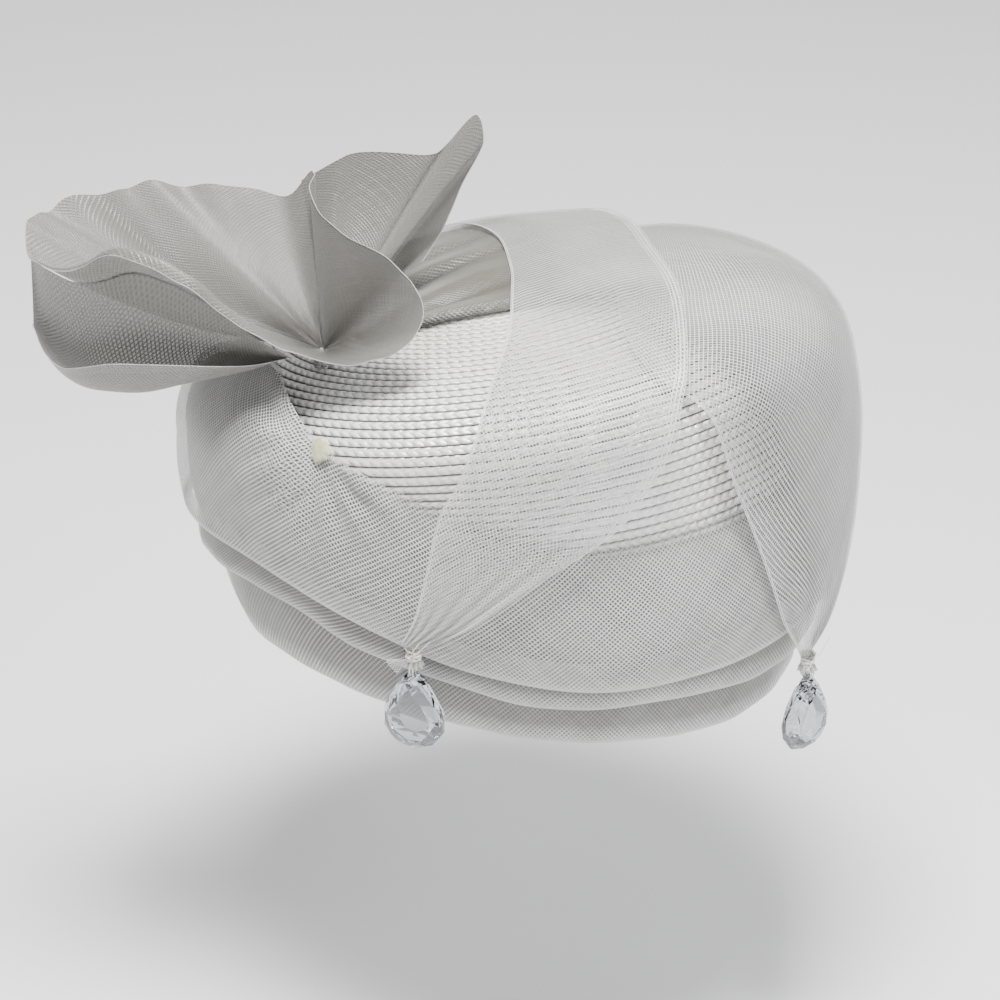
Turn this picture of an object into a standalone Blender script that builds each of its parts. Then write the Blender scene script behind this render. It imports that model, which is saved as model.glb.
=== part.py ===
"""A net-trimmed straw hat: a braided crown, a net band with rim folds, two swaths, a bow and two drops.

Units are metres. +Z is up as the hat is worn, -Y is the wearer's front and -X the wearer's right.
The origin is the middle of the head opening.

Most pieces are sheets that lie over the crown, so they are laid out on a flat map of it. A map place
is (reach, bearing): reach is 0 at the crown's tip, 1 on its widest ring and 2 at the rim, and bearing
is in degrees from the wearer's left (+X) towards the back (+Y). The lift is the distance off the crown.
"""

import bmesh
import bpy
import numpy as np
from mathutils import Matrix, Vector

# Driving sizes of the crown
OPENING_LENGTH = 0.2000  # outside the rim, front to back
OPENING_WIDTH = 0.1764
OPENING_TILT = -7.0  # degrees, front of the rim down
CROWN_LENGTH = 0.2210  # on the widest ring
CROWN_WIDTH = 0.1930
CROWN_TILT = 11.0  # degrees, front of the widest ring up
CROWN_RING_HEIGHT = 0.0845  # of the widest ring's middle above the opening
CROWN_RING_BACK = 0.0060  # the widest ring's middle is this far behind the opening's
CROWN_RISE = 0.0340  # from the widest ring to the tip, square to the ring
CROWN_SQUARENESS = 2.5  # 2 is a round top, more is a flatter one
STRAW_WALL = 0.0022
CROWN_FOOT = 1.975  # reach of the straw's lower edge, just inside the lowest fold

# Driving sizes of the net
NET_WALL = 0.0012
LAYER_GAP = 0.0004  # between sheets that lie on each other
BAND_STAND_OFF = 0.0120  # of the band's lower edge from the crown
FOLD_STAND_OFF = 0.0075  # of the middle fold's edge
RIM_STAND_OFF = 0.0028  # of the lowest fold's edge
SWATH_STAND_OFF = 0.0190  # the most that a swath stands off the crown
PLEAT_DEPTH = 0.0035
PLEAT_COUNT = 6

# Driving sizes of the bow
BOW_LENGTH = 0.1080  # from the knot to the end of its longest lobe
KNOT_REACH, KNOT_BEARING = 0.59, 155.0
KNOT_WIDTH = 0.0096
KNOT_HEIGHT = 0.0046
BOW_CLEARANCE = 0.0006  # between the knot and the middle of the throat over it
BOW_HEADING = -63.0  # degrees: the bow's long way runs level, along this heading from +X

# Driving sizes of the ties and the drops
TIE_WIDTH = 0.0066
TIE_HEIGHT = 0.0052
LOOP_RADIUS = 0.0027
THREAD_RADIUS = 0.0004
DROP_LENGTH = 0.0310
DROP_WIDTH = 0.0220
DROP_DEPTH = 0.0090
HOLE_RADIUS = 0.0014
HOLE_BELOW_TIP = 0.0031
SIDE_DROP_FACING = 189.5  # bearings that the tables of the two drops face
FRONT_DROP_FACING = 250.0
GLUE_WIDTH = 0.0075
GLUE_HEIGHT = 0.0010
GLUE_REACH, GLUE_BEARING = 0.905, 172.0
GLUE_BED = 0.0002  # the glue's flat foot stands this far over the net, which curves under it

# Mesh fineness
ROUND_STEPS = 56
CROWN_ROUND_STEPS = 48
CROWN_STEPS = 9
BAND_STEPS = 7
FOLD_STEPS = 4
SWATH_LENGTH_STEPS, SWATH_WIDTH_STEPS = 27, 7
PLEAT_STEPS = 9
FUNNEL_ROUND_STEPS, FUNNEL_DOWN_STEPS = 40, 6
PETAL_LENGTH_STEPS, PETAL_WIDTH_STEPS = 21, 7
DOME_RINGS, DOME_SPOKES = 4, 16
TIE_SPOKES = 14
LOOP_STEPS, THREAD_SIDES = 20, 6
HOLE_SIDES = 12
MAP_STEP = 0.002
PROFILE_STEPS = 400
SHARP_ANGLE = 40.0

# The net band: one row for each bearing. Lifts are shares of BAND_STAND_OFF.
BAND_ROWS = (
    # bearing, top reach, top lift, low reach, low lift
    (0, 1.27, 0.05, 1.70, 1.00),
    (40, 1.25, 0.05, 1.70, 0.95),
    (75, 1.10, 0.20, 1.64, 0.88),
    (105, 0.88, 0.45, 1.52, 0.86),
    (125, 0.72, 0.60, 1.42, 0.90),
    (141, 0.68, 0.75, 1.38, 0.92),
    (156, 0.73, 0.78, 1.38, 0.94),
    (164, 0.81, 0.60, 1.42, 0.96),
    (170, 0.88, 0.10, 1.46, 1.00),
    (183, 0.99, 0.05, 1.56, 1.00),
    (194, 1.08, 0.05, 1.64, 1.00),
    (203, 1.15, 0.05, 1.68, 1.00),
    (216, 1.24, 0.05, 1.72, 1.00),
    (240, 1.27, 0.05, 1.71, 1.00),
    (270, 1.26, 0.05, 1.68, 1.00),
    (310, 1.27, 0.05, 1.70, 1.00),
)

# The folds under it: reaches of their top and low edges, and the lift of the low one as a share of
# FOLD_STAND_OFF or RIM_STAND_OFF
MIDDLE_FOLD_ROWS = (
    # bearing, top reach, low reach, low lift
    (0, 1.50, 1.83, 1.0),
    (60, 1.50, 1.82, 1.0),
    (110, 1.40, 1.74, 1.2),
    (140, 1.28, 1.60, 1.2),
    (165, 1.28, 1.59, 1.1),
    (175, 1.36, 1.68, 1.0),
    (190, 1.44, 1.74, 1.0),
    (205, 1.48, 1.80, 1.0),
    (240, 1.50, 1.81, 1.0),
    (260, 1.50, 1.83, 1.0),
    (310, 1.50, 1.84, 1.0),
)
LOWER_FOLD_ROWS = (
    # bearing, top reach, low reach, low lift
    (0, 1.66, 2.00, 1.0),
    (70, 1.64, 2.00, 1.2),
    (120, 1.50, 2.02, 2.0),
    (145, 1.42, 2.02, 2.1),
    (160, 1.44, 2.00, 1.3),
    (175, 1.52, 1.985, 1.0),
    (200, 1.62, 1.985, 1.0),
    (240, 1.66, 1.99, 1.0),
    (300, 1.66, 2.00, 1.0),
)

# The swaths, from their gathers up and over to the far side. Lifts are shares of SWATH_STAND_OFF.
SIDE_SWATH_ROWS = (
    # left reach, left bearing, right reach, right bearing, left lift, middle lift, right lift
    (1.545, 187.6, 1.545, 191.6, 0.88, 0.93, 0.88),
    (1.440, 189.9, 1.470, 200.0, 0.78, 0.86, 0.81),
    (1.270, 192.0, 1.370, 215.0, 0.58, 0.70, 0.63),
    (1.070, 194.5, 1.200, 224.0, 0.37, 0.47, 0.47),
    (0.950, 199.0, 1.040, 231.0, 0.19, 0.30, 0.42),
    (0.840, 202.5, 0.920, 237.0, 0.14, 0.24, 0.44),
    (0.620, 208.0, 0.850, 242.0, 0.15, 0.25, 0.47),
    (0.470, 213.0, 0.720, 252.0, 0.22, 0.31, 0.51),
    (0.290, 221.0, 0.600, 265.0, 0.33, 0.44, 0.52),
    (0.090, 270.0, 0.480, 290.0, 0.38, 0.51, 0.53),
    (0.300, 17.0, 0.500, 325.0, 0.44, 0.53, 0.55),
    (0.610, 33.0, 0.650, 353.0, 0.48, 0.54, 0.55),
    (0.900, 43.0, 0.900, 8.0, 0.42, 0.50, 0.50),
    (1.080, 47.0, 1.080, 16.0, 0.21, 0.30, 0.32),
    (1.210, 49.0, 1.225, 20.0, 0.04, 0.05, 0.05),
)
FRONT_SWATH_ROWS = (
    # left reach, left bearing, right reach, right bearing, left lift, middle lift, right lift
    (1.775, 261.0, 1.775, 265.2, 0.86, 0.90, 0.86),
    (1.650, 256.0, 1.720, 274.0, 0.77, 0.98, 0.82),
    (1.560, 253.5, 1.620, 284.0, 0.74, 1.00, 0.77),
    (1.420, 251.0, 1.480, 296.0, 0.58, 0.98, 0.63),
    (1.280, 248.5, 1.340, 307.0, 0.42, 0.92, 0.51),
    (1.150, 246.0, 1.250, 316.0, 0.32, 0.80, 0.40),
    (0.960, 243.0, 1.180, 324.0, 0.24, 0.66, 0.35),
    (0.850, 238.0, 1.120, 331.0, 0.18, 0.55, 0.32),
    (0.720, 238.0, 1.090, 338.0, 0.16, 0.46, 0.29),
    (0.580, 244.0, 1.080, 345.0, 0.18, 0.39, 0.27),
    (0.460, 258.0, 1.090, 351.0, 0.21, 0.34, 0.25),
    (0.370, 286.0, 1.120, 355.0, 0.24, 0.30, 0.21),
    (0.420, 325.0, 1.170, 358.0, 0.24, 0.26, 0.17),
    (0.640, 350.0, 1.210, 0.0, 0.21, 0.20, 0.11),
    (0.930, 4.0, 1.230, 1.0, 0.14, 0.12, 0.06),
    (1.200, 12.0, 1.240, 2.0, 0.06, 0.06, 0.05),
)

# The pleats: map places of the two ends of their far edge, and of the point that bows it
PLEATS_NEAR = (0.30, 224.0)
PLEATS_FAR = (0.66, 36.0)
PLEATS_BOW = (0.16, 300.0)
PLEATS_START = 0.20  # share of the way from the knot to that edge

# The bow's rims, in shares of BOW_LENGTH from the knot: ahead along the bow's heading, out to the
# wearer's right of it, and up.
FUNNEL_RIM = (
    # ahead, out, up
    (-0.03, -0.28, 0.480),
    (-0.04, -0.19, 0.465),
    (0.01, -0.05, 0.425),
    (0.09, 0.07, 0.410),
    (0.17, 0.15, 0.400),
    (0.25, 0.20, 0.360),
    (0.30, 0.26, 0.318),
    (0.325, 0.30, 0.265),
    (0.305, 0.33, 0.200),
    (0.25, 0.34, 0.150),
    (0.17, 0.33, 0.108),
    (0.07, 0.31, 0.090),
    (-0.05, 0.30, 0.115),
    (-0.135, 0.30, 0.155),
    (-0.23, 0.31, 0.215),
    (-0.31, 0.31, 0.285),
    (-0.41, 0.30, 0.355),
    (-0.52, 0.26, 0.400),
    (-0.66, 0.19, 0.390),
    (-0.78, 0.11, 0.310),
    (-0.89, 0.02, 0.310),
    (-0.92, -0.09, 0.370),
    (-0.89, -0.18, 0.390),
    (-0.83, -0.24, 0.395),
    (-0.69, -0.31, 0.415),
    (-0.60, -0.35, 0.412),
    (-0.46, -0.37, 0.420),
    (-0.31, -0.37, 0.400),
    (-0.135, -0.36, 0.390),
)
REAR_RIM = (
    # ahead, out, up
    (-0.08, -0.41, 0.410),
    (0.030, -0.39, 0.485),
    (0.10, -0.37, 0.515),
    (0.225, -0.35, 0.525),
    (0.335, -0.32, 0.535),
    (0.385, -0.30, 0.566),
    (0.480, -0.27, 0.680),
    (0.505, -0.25, 0.620),
    (0.485, -0.25, 0.550),
    (0.435, -0.26, 0.450),
    (0.400, -0.28, 0.360),
    (0.360, -0.26, 0.275),
    (0.310, -0.22, 0.205),
)
# The lower petal's near lip and belly. Its back edge lies under the funnel's near wall.
LOWER_PETAL_ROWS = (
    # ahead, lip out, lip up, belly out, belly up
    (-0.10, 0.20, 0.060, 0.16, 0.045),
    (-0.20, 0.25, 0.060, 0.18, 0.020),
    (-0.31, 0.27, 0.065, 0.18, -0.005),
    (-0.42, 0.27, 0.068, 0.16, -0.035),
    (-0.53, 0.25, 0.062, 0.13, -0.070),
    (-0.64, 0.22, 0.050, 0.09, -0.080),
    (-0.74, 0.17, 0.015, 0.05, -0.070),
    (-0.81, 0.11, -0.010, 0.01, -0.035),
    (-0.87, 0.04, 0.010, -0.03, 0.030),
    (-0.91, -0.02, 0.080, -0.05, 0.110),
)
FUNNEL_THROAT = 0.07  # share of the rim left open at the knot
FUNNEL_DRAW = 0.9  # how the wall's pull towards the throat grows with the way down it
FUNNEL_SAG = 0.05
REAR_FOOT = (0.0, -0.060, -0.050)  # ahead, out, up of the point that the rear petal is drawn from
REAR_START = 0.10  # share of the way from there to its rim
REAR_HOLLOW = 0.07
PETAL_UNDER = 0.0165  # between the lower petal's back edge and the funnel's wall over it
PETAL_PLACES = (12.6, 21.0)  # rows of FUNNEL_RIM that this edge runs between
PETAL_DOWN = (0.66, 0.965)  # shares of the way from throat to rim at its two ends

# Sections of a wound tie: share of the way down it, share of its width
TIE_SECTIONS = ((0.0, 0.62), (0.15, 0.92), (0.4, 1.0), (0.7, 0.86), (0.9, 0.62), (1.0, 0.4))
LOOP_SUNK = 0.18  # share of the loop's radius that the tie hides

# The pear cut, from its table to its point
DROP_LAYERS = (
    # depth share, size share, points, turn
    (0.50, 0.60, 8, 0.0),
    (0.32, 0.84, 8, 0.5),
    (0.08, 1.00, 16, 0.0),
    (-0.04, 1.00, 16, 0.0),
    (-0.30, 0.62, 8, 0.5),
    (-0.50, 0.20, 8, 0.0),
)
PEAR_TAPER = 0.30  # how much the flanks draw in at the tip
PEAR_POINT = 1.6  # how late they rise to it


def clear_scene():
    for item in list(bpy.data.objects):
        bpy.data.objects.remove(item, do_unlink=True)


def finish(name, colour, roughness, transmission=0.0):
    made = bpy.data.materials.new(name)
    made.use_nodes = True
    shader = made.node_tree.nodes["Principled BSDF"]
    shader.inputs["Base Color"].default_value = (*colour, 1.0)
    shader.inputs["Roughness"].default_value = roughness
    shader.inputs["Metallic"].default_value = 0.0
    shader.inputs["Transmission Weight"].default_value = transmission
    return made


def crown_profile():
    """Share of the way from tip to widest ring, against radius share and height share, at even lengths."""
    turn = np.linspace(0, np.pi / 2, PROFILE_STEPS)
    radius = np.sin(turn)
    height = (1 - radius**CROWN_SQUARENESS).clip(0) ** (1 / CROWN_SQUARENESS)
    mean_radius = (CROWN_LENGTH + CROWN_WIDTH) / 4
    steps = np.hypot(np.diff(radius) * mean_radius, np.diff(height) * CROWN_RISE)
    along = np.concatenate([[0], np.cumsum(steps)])
    return along / along[-1], radius, height


PROFILE = crown_profile()


def on_crown(p, q):
    """The crown's surface at the flat map place (p, q)."""
    reach, turn = np.hypot(p, q), np.arctan2(q, p)
    above = reach <= 1
    radius = np.interp(reach.clip(0, 1), PROFILE[0], PROFILE[1])
    rise = np.interp(reach.clip(0, 1), PROFILE[0], PROFILE[2]) * CROWN_RISE * above
    fall = (reach - 1).clip(0)
    tilt = np.radians(CROWN_TILT + (OPENING_TILT - CROWN_TILT) * fall)
    half_length = (CROWN_LENGTH + (OPENING_LENGTH - CROWN_LENGTH) * fall**2) / 2
    half_width = (CROWN_WIDTH + (OPENING_WIDTH - CROWN_WIDTH) * fall**2) / 2
    along = half_length * np.where(above, radius, 1) * np.sin(turn)
    across = half_width * np.where(above, radius, 1) * np.cos(turn)
    y = CROWN_RING_BACK * (1 - fall) + along * np.cos(tilt) + rise * np.sin(tilt)
    z = CROWN_RING_HEIGHT * (1 - fall) - along * np.sin(tilt) + rise * np.cos(tilt)
    return np.stack([across, y, z], axis=-1)


def off_crown(p, q, lift):
    """The point at a lift off the crown, square to it."""
    by_p = on_crown(p + MAP_STEP, q) - on_crown(p - MAP_STEP, q)
    by_q = on_crown(p, q + MAP_STEP) - on_crown(p, q - MAP_STEP)
    normal = np.cross(by_p, by_q)
    normal /= np.linalg.norm(normal, axis=-1, keepdims=True)
    return on_crown(p, q) + normal * np.asarray(lift)[..., None]


def flat(reach, bearing):
    """Map place of a reach and a bearing in degrees."""
    turn = np.radians(bearing)
    return np.asarray(reach) * np.cos(turn), np.asarray(reach) * np.sin(turn)


def through(places, values, at, period=None):
    """A smooth curve through the values at their places, read at other places."""
    places, values = np.asarray(places, float), np.asarray(values, float)
    if period:
        places = np.concatenate([places[-2:] - period, places, places[:2] + period])
        values = np.concatenate([values[-2:], values, values[:2]])
    slopes = np.gradient(values, places, axis=0)
    index = np.clip(np.searchsorted(places, at, side="right") - 1, 0, len(places) - 2)
    span = (places[index + 1] - places[index])[:, None]
    share = ((at - places[index])[:, None]) / span
    start, end = values[index], values[index + 1]
    return (
        start * (1 + 2 * share) * (1 - share) ** 2
        + slopes[index] * span * share * (1 - share) ** 2
        + end * share**2 * (3 - 2 * share)
        - slopes[index + 1] * span * share**2 * (1 - share)
    )


def table_round(rows, count):
    """Bearings round the hat, with the table's columns smoothed to each."""
    rows = np.array(rows, float)
    bearings = np.arange(count) * 360.0 / count
    return bearings, through(rows[:, 0], rows[:, 1:], bearings, period=360.0).T


def make(name, points, faces, material):
    """An object from points and faces, with its faces turned outwards and smooth where it is round."""
    mesh = bpy.data.meshes.new(name)
    mesh.from_pydata([tuple(map(float, p)) for p in points], [], faces)
    work = bmesh.new()
    work.from_mesh(mesh)
    bmesh.ops.recalc_face_normals(work, faces=work.faces)
    work.to_mesh(mesh)
    work.free()
    mesh.shade_smooth()
    mesh.set_sharp_from_angle(angle=np.radians(SHARP_ANGLE))
    made = bpy.data.objects.new(name, mesh)
    bpy.context.collection.objects.link(made)
    mesh.materials.append(material)
    return made


def closed_sheet(name, under, over, material, ring=False):
    """A solid between two grids of points, which may run round into a ring."""
    rows, columns = under.shape[:2]
    points = np.concatenate([under.reshape(-1, 3), over.reshape(-1, 3)])
    top = rows * columns
    faces = []
    for i in range(rows if ring else rows - 1):
        j = (i + 1) % rows
        for k in range(columns - 1):
            quad = (i * columns + k, j * columns + k, j * columns + k + 1, i * columns + k + 1)
            faces.append(quad)
            faces.append(tuple(top + v for v in reversed(quad)))
        for k in (0, columns - 1):
            edge = (i * columns + k, j * columns + k)
            faces.append((edge[0], top + edge[0], top + edge[1], edge[1]))
    if not ring:
        for i in (0, rows - 1):
            for k in range(columns - 1):
                edge = (i * columns + k, i * columns + k + 1)
                faces.append((edge[0], edge[1], top + edge[1], top + edge[0]))
    return make(name, points, faces, material)


def ring_faces(rings, spokes):
    """Faces between rings of points that follow each other."""
    faces = []
    for i in range(rings - 1):
        for k in range(spokes):
            n = (k + 1) % spokes
            faces.append((i * spokes + k, i * spokes + n, (i + 1) * spokes + n, (i + 1) * spokes + k))
    return faces


def cut_or_join(made, tool, name, operation):
    """Puts a Boolean with a hidden tool on an object."""
    tool.name = made.name + "_" + name
    tool.hide_render = True
    tool.display_type = "WIRE"
    boolean = made.modifiers.new(name, "BOOLEAN")
    boolean.operation = operation
    boolean.solver = "EXACT"
    boolean.object = tool
    return made


def make_crown(material):
    """The straw dome: outer and inner rings from rim to tip, joined at the rim and closed at the tips."""
    bearings = np.arange(CROWN_ROUND_STEPS) * 360.0 / CROWN_ROUND_STEPS
    reaches = np.concatenate([
        np.linspace(CROWN_FOOT, 1.0, CROWN_STEPS // 2, endpoint=False),
        np.linspace(1, 0, CROWN_STEPS, endpoint=False),
    ])
    points, faces = [], []
    for lift in (0.0, -STRAW_WALL):
        for reach in reaches:
            p, q = flat(np.full(CROWN_ROUND_STEPS, reach), bearings)
            points.extend(off_crown(p, q, np.full(CROWN_ROUND_STEPS, lift)))
        points.append(off_crown(np.zeros(1), np.zeros(1), np.array([lift]))[0])
    rings = len(reaches)
    skin = rings * CROWN_ROUND_STEPS + 1
    for side in (0, skin):
        for i in range(rings - 1):
            for k in range(CROWN_ROUND_STEPS):
                n = (k + 1) % CROWN_ROUND_STEPS
                low, high = side + i * CROWN_ROUND_STEPS, side + (i + 1) * CROWN_ROUND_STEPS
                faces.append((low + k, low + n, high + n, high + k))
        last = side + (rings - 1) * CROWN_ROUND_STEPS
        for k in range(CROWN_ROUND_STEPS):
            faces.append((last + k, last + (k + 1) % CROWN_ROUND_STEPS, side + rings * CROWN_ROUND_STEPS))
    for k in range(CROWN_ROUND_STEPS):
        n = (k + 1) % CROWN_ROUND_STEPS
        faces.append((k, n, skin + n, skin + k))
    return make("crown", points, faces, material)


def round_sheet(name, reach, bearings, lift, material):
    """A ring-shaped sheet from grids of reach and lift, one row for each bearing."""
    p, q = flat(reach, bearings[:, None])
    return closed_sheet(name, off_crown(p, q, lift), off_crown(p, q, lift + NET_WALL), material, ring=True)


def band_lift(top_lift, low_lift, down):
    """Lift of the band at a share of the way down it, from the lifts of its two edges."""
    lift = BAND_STAND_OFF * (top_lift + (low_lift - top_lift) * np.sin(down * np.pi / 2))
    return lift.clip(LAYER_GAP)


def make_side_band(material):
    bearings, (top, top_lift, low, low_lift) = table_round(BAND_ROWS, ROUND_STEPS)
    down = np.linspace(0, 1, BAND_STEPS)
    reach = top[:, None] + (low - top)[:, None] * down
    lift = band_lift(top_lift[:, None], low_lift[:, None], down)
    return round_sheet("side_band", reach, bearings, lift, material)


def make_fold(name, table, stand_off, material):
    """A fold of net that leaves the crown under the layer above it and ends in a free edge."""
    bearings, (top, low, low_lift) = table_round(table, ROUND_STEPS)
    down = np.linspace(0, 1, FOLD_STEPS)
    reach = top[:, None] + (low - top)[:, None] * down
    lift = LAYER_GAP + (low_lift * stand_off - LAYER_GAP)[:, None] * np.sin(down * np.pi / 2)
    return round_sheet(name, reach, bearings, lift, material)


def make_swath(name, table, material):
    """A swath between the two edges of its table, smoothed along its length and bowed across."""
    rows = np.array(table).T
    stations = np.arange(len(table), dtype=float)
    at = np.linspace(0, stations[-1], SWATH_LENGTH_STEPS)
    columns = np.column_stack([*flat(*rows[0:2]), *flat(*rows[2:4]), *(rows[4:7] * SWATH_STAND_OFF)])
    lp, lq, rp, rq, left, middle, right = through(stations, columns, at).T[..., None]
    share = np.linspace(0, 1, SWATH_WIDTH_STEPS)
    p, q = lp + (rp - lp) * share, lq + (rq - lq) * share
    bow = 4 * share * (1 - share)
    lift = left + (right - left) * share + (middle - (left + right) / 2) * bow
    return closed_sheet(name, off_crown(p, q, lift), off_crown(p, q, lift + NET_WALL), material)


def make_pleat_fan(material):
    """Pleats over the top, from beside the knot to under the side swath's left edge."""
    near, far, bow = flat(*PLEATS_NEAR), flat(*PLEATS_FAR), flat(*PLEATS_BOW)
    start = flat(KNOT_REACH, KNOT_BEARING)
    across = np.linspace(0, 1, 4 * PLEAT_COUNT + 1)[:, None]
    along = np.linspace(PLEATS_START, 1.0, PLEAT_STEPS)
    ends = [
        near[i] * (1 - across) ** 2 + 2 * bow[i] * across * (1 - across) + far[i] * across**2 for i in (0, 1)
    ]
    p, q = (start[i] + (ends[i] - start[i]) * along for i in (0, 1))
    fold = 0.5 - 0.5 * np.cos(2 * np.pi * PLEAT_COUNT * across)
    lift = LAYER_GAP + PLEAT_DEPTH * fold * np.sin(np.pi * along * 0.6)
    return closed_sheet("pleat_fan", off_crown(p, q, lift), off_crown(p, q, lift + NET_WALL), material)


def bow_axes():
    turn = np.radians(BOW_HEADING)
    ahead = np.array([np.cos(turn), np.sin(turn), 0.0])
    out = np.array([np.sin(turn), -np.cos(turn), 0.0])
    return ahead, out, np.array([0.0, 0.0, 1.0])


def knot_place():
    """The bow's middle, just clear of the knot under it."""
    p, q = flat(np.array([KNOT_REACH]), np.array([KNOT_BEARING]))
    return off_crown(p, q, np.array([KNOT_HEIGHT + BOW_CLEARANCE]))[0]


def bow_points(shares):
    """World points from shares of the bow's length along its three axes."""
    return knot_place() + BOW_LENGTH * (np.asarray(shares) @ np.array(bow_axes()))


def thick(made, wall=NET_WALL):
    """Gives a free sheet its wall."""
    solid = made.modifiers.new("wall", "SOLIDIFY")
    solid.thickness = wall
    solid.offset = 0.0
    solid.use_rim = True
    return made


def free_sheet(name, grid, material, ring=False):
    """A thin sheet through a grid of points, given its wall by a modifier."""
    rows, columns = grid.shape[:2]
    faces = [
        (i * columns + k, (i + 1) % rows * columns + k, (i + 1) % rows * columns + k + 1, i * columns + k + 1)
        for i in range(rows if ring else rows - 1)
        for k in range(columns - 1)
    ]
    return thick(make(name, grid.reshape(-1, 3), faces, material))


def funnel_wall(at, down):
    """The funnel's wall, in shares of the bow's length, at places along its rim and shares of the way down."""
    rim = np.array(FUNNEL_RIM)
    shape = np.broadcast(at, down).shape
    at, down = (np.broadcast_to(values, shape).ravel() for values in (at, down))
    edge = through(np.arange(len(rim)), rim, at % len(rim), period=len(rim))
    wall = edge * (FUNNEL_THROAT + (1 - FUNNEL_THROAT) * down**FUNNEL_DRAW)[:, None]
    wall[:, 2] -= FUNNEL_SAG * np.sin(np.pi * down) * np.linalg.norm(edge[:, :2], axis=1)
    return wall.reshape(*shape, 3)


def make_bow_funnel(material):
    """The open lobe: its rim from the table, drawn down to a small throat at the knot."""
    around = np.linspace(0, len(FUNNEL_RIM), FUNNEL_ROUND_STEPS, endpoint=False)[:, None]
    wall = funnel_wall(around, np.linspace(0, 1, FUNNEL_DOWN_STEPS))
    return free_sheet("bow_funnel", bow_points(wall), material, ring=True)


def make_bow_rear_petal(material):
    """The lobe behind the funnel, fanned out from a foot beside the knot."""
    rim = np.array(REAR_RIM)
    around = through(np.arange(len(rim)), rim, np.linspace(0, len(rim) - 1, PETAL_LENGTH_STEPS))
    down = np.linspace(REAR_START, 1, PETAL_WIDTH_STEPS)
    foot = np.array(REAR_FOOT)
    grid = foot + (around - foot)[:, None, :] * down[None, :, None]
    grid[..., 1] -= (REAR_HOLLOW * np.sin(np.pi * down))[None, :]
    return free_sheet("bow_rear_petal", bow_points(grid), material)


def make_bow_lower_petal(material):
    """A hanging lobe: from its near lip round a low belly to an edge under the funnel's near wall."""
    rows = np.array(LOWER_PETAL_ROWS)
    along = np.linspace(0, len(rows) - 1, PETAL_LENGTH_STEPS)
    at = through(np.arange(len(rows)), rows, along)
    lip, belly = at[:, [0, 1, 2]], at[:, [0, 3, 4]]
    places = np.linspace(*PETAL_PLACES, PETAL_LENGTH_STEPS)
    down = np.linspace(*PETAL_DOWN, PETAL_LENGTH_STEPS)
    step = MAP_STEP
    by_place = funnel_wall(places + step, down) - funnel_wall(places - step, down)
    by_down = funnel_wall(places, down + step) - funnel_wall(places, down - step)
    outwards = np.cross(by_place, by_down)
    outwards /= np.linalg.norm(outwards, axis=1, keepdims=True)
    back = funnel_wall(places, down) + outwards * PETAL_UNDER * np.sign(-outwards[:, 2:])
    share = np.linspace(0, 1, PETAL_WIDTH_STEPS)[None, :, None]
    middle = 2 * belly - (lip + back) / 2
    lip, middle, back = lip[:, None], middle[:, None], back[:, None]
    grid = lip * (1 - share) ** 2 + 2 * middle * share * (1 - share) + back * share**2
    return free_sheet("bow_lower_petal", bow_points(grid), material)


def make_dome(name, place, width, height, material, lift):
    """A low rounded lump that sits on the crown."""
    p, q = flat(np.array([place[0]]), np.array([place[1]]))
    base = Vector(on_crown(p, q)[0])
    frame = (Vector(off_crown(p, q, np.ones(1))[0]) - base).to_track_quat("Z", "Y").to_matrix()
    points = []
    for i in range(DOME_RINGS):
        angle = np.pi / 2 * i / DOME_RINGS
        radius = width / 2 * np.cos(angle)
        for k in range(DOME_SPOKES):
            turn = 2 * np.pi * k / DOME_SPOKES
            local = Vector((np.cos(turn) * radius, np.sin(turn) * radius, lift + height * np.sin(angle)))
            points.append(base + frame @ local)
    points.append(base + frame @ Vector((0, 0, lift + height)))
    faces = ring_faces(DOME_RINGS, DOME_SPOKES)
    last = (DOME_RINGS - 1) * DOME_SPOKES
    for k in range(DOME_SPOKES):
        faces.append((last + k, last + (k + 1) % DOME_SPOKES, last + DOME_SPOKES))
    faces.append(tuple(range(DOME_SPOKES)))
    return make(name, points, faces, material)


def glue_lift():
    """How far the glue's foot stands off the crown: over the band, wherever the foot covers it."""
    half = GLUE_WIDTH / CROWN_LENGTH
    rows = np.array(BAND_ROWS, float)
    bearings = GLUE_BEARING + np.degrees(half) * np.array([-1.0, 0.0, 1.0])
    top, top_lift, low, low_lift = through(rows[:, 0], rows[:, 1:], bearings, period=360.0).T
    down = ((GLUE_REACH + half - top) / (low - top)).clip(0, 1)
    return float(band_lift(top_lift, low_lift, down).max()) + NET_WALL + GLUE_BED


def gather_foot(table):
    """Middle of a swath's gathered end, just under its lower edge."""
    row = table[0]
    p, q = flat(np.array([row[0]]), np.array([(row[1] + row[3]) / 2]))
    lift = row[5] * SWATH_STAND_OFF + NET_WALL / 2
    return Vector(off_crown(p, q, np.array([lift]))[0]) - Vector((0, 0, LAYER_GAP))


def level_way(bearing):
    """The level direction of a bearing."""
    turn = np.radians(bearing)
    return Vector((np.cos(turn), np.sin(turn), 0))


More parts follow.
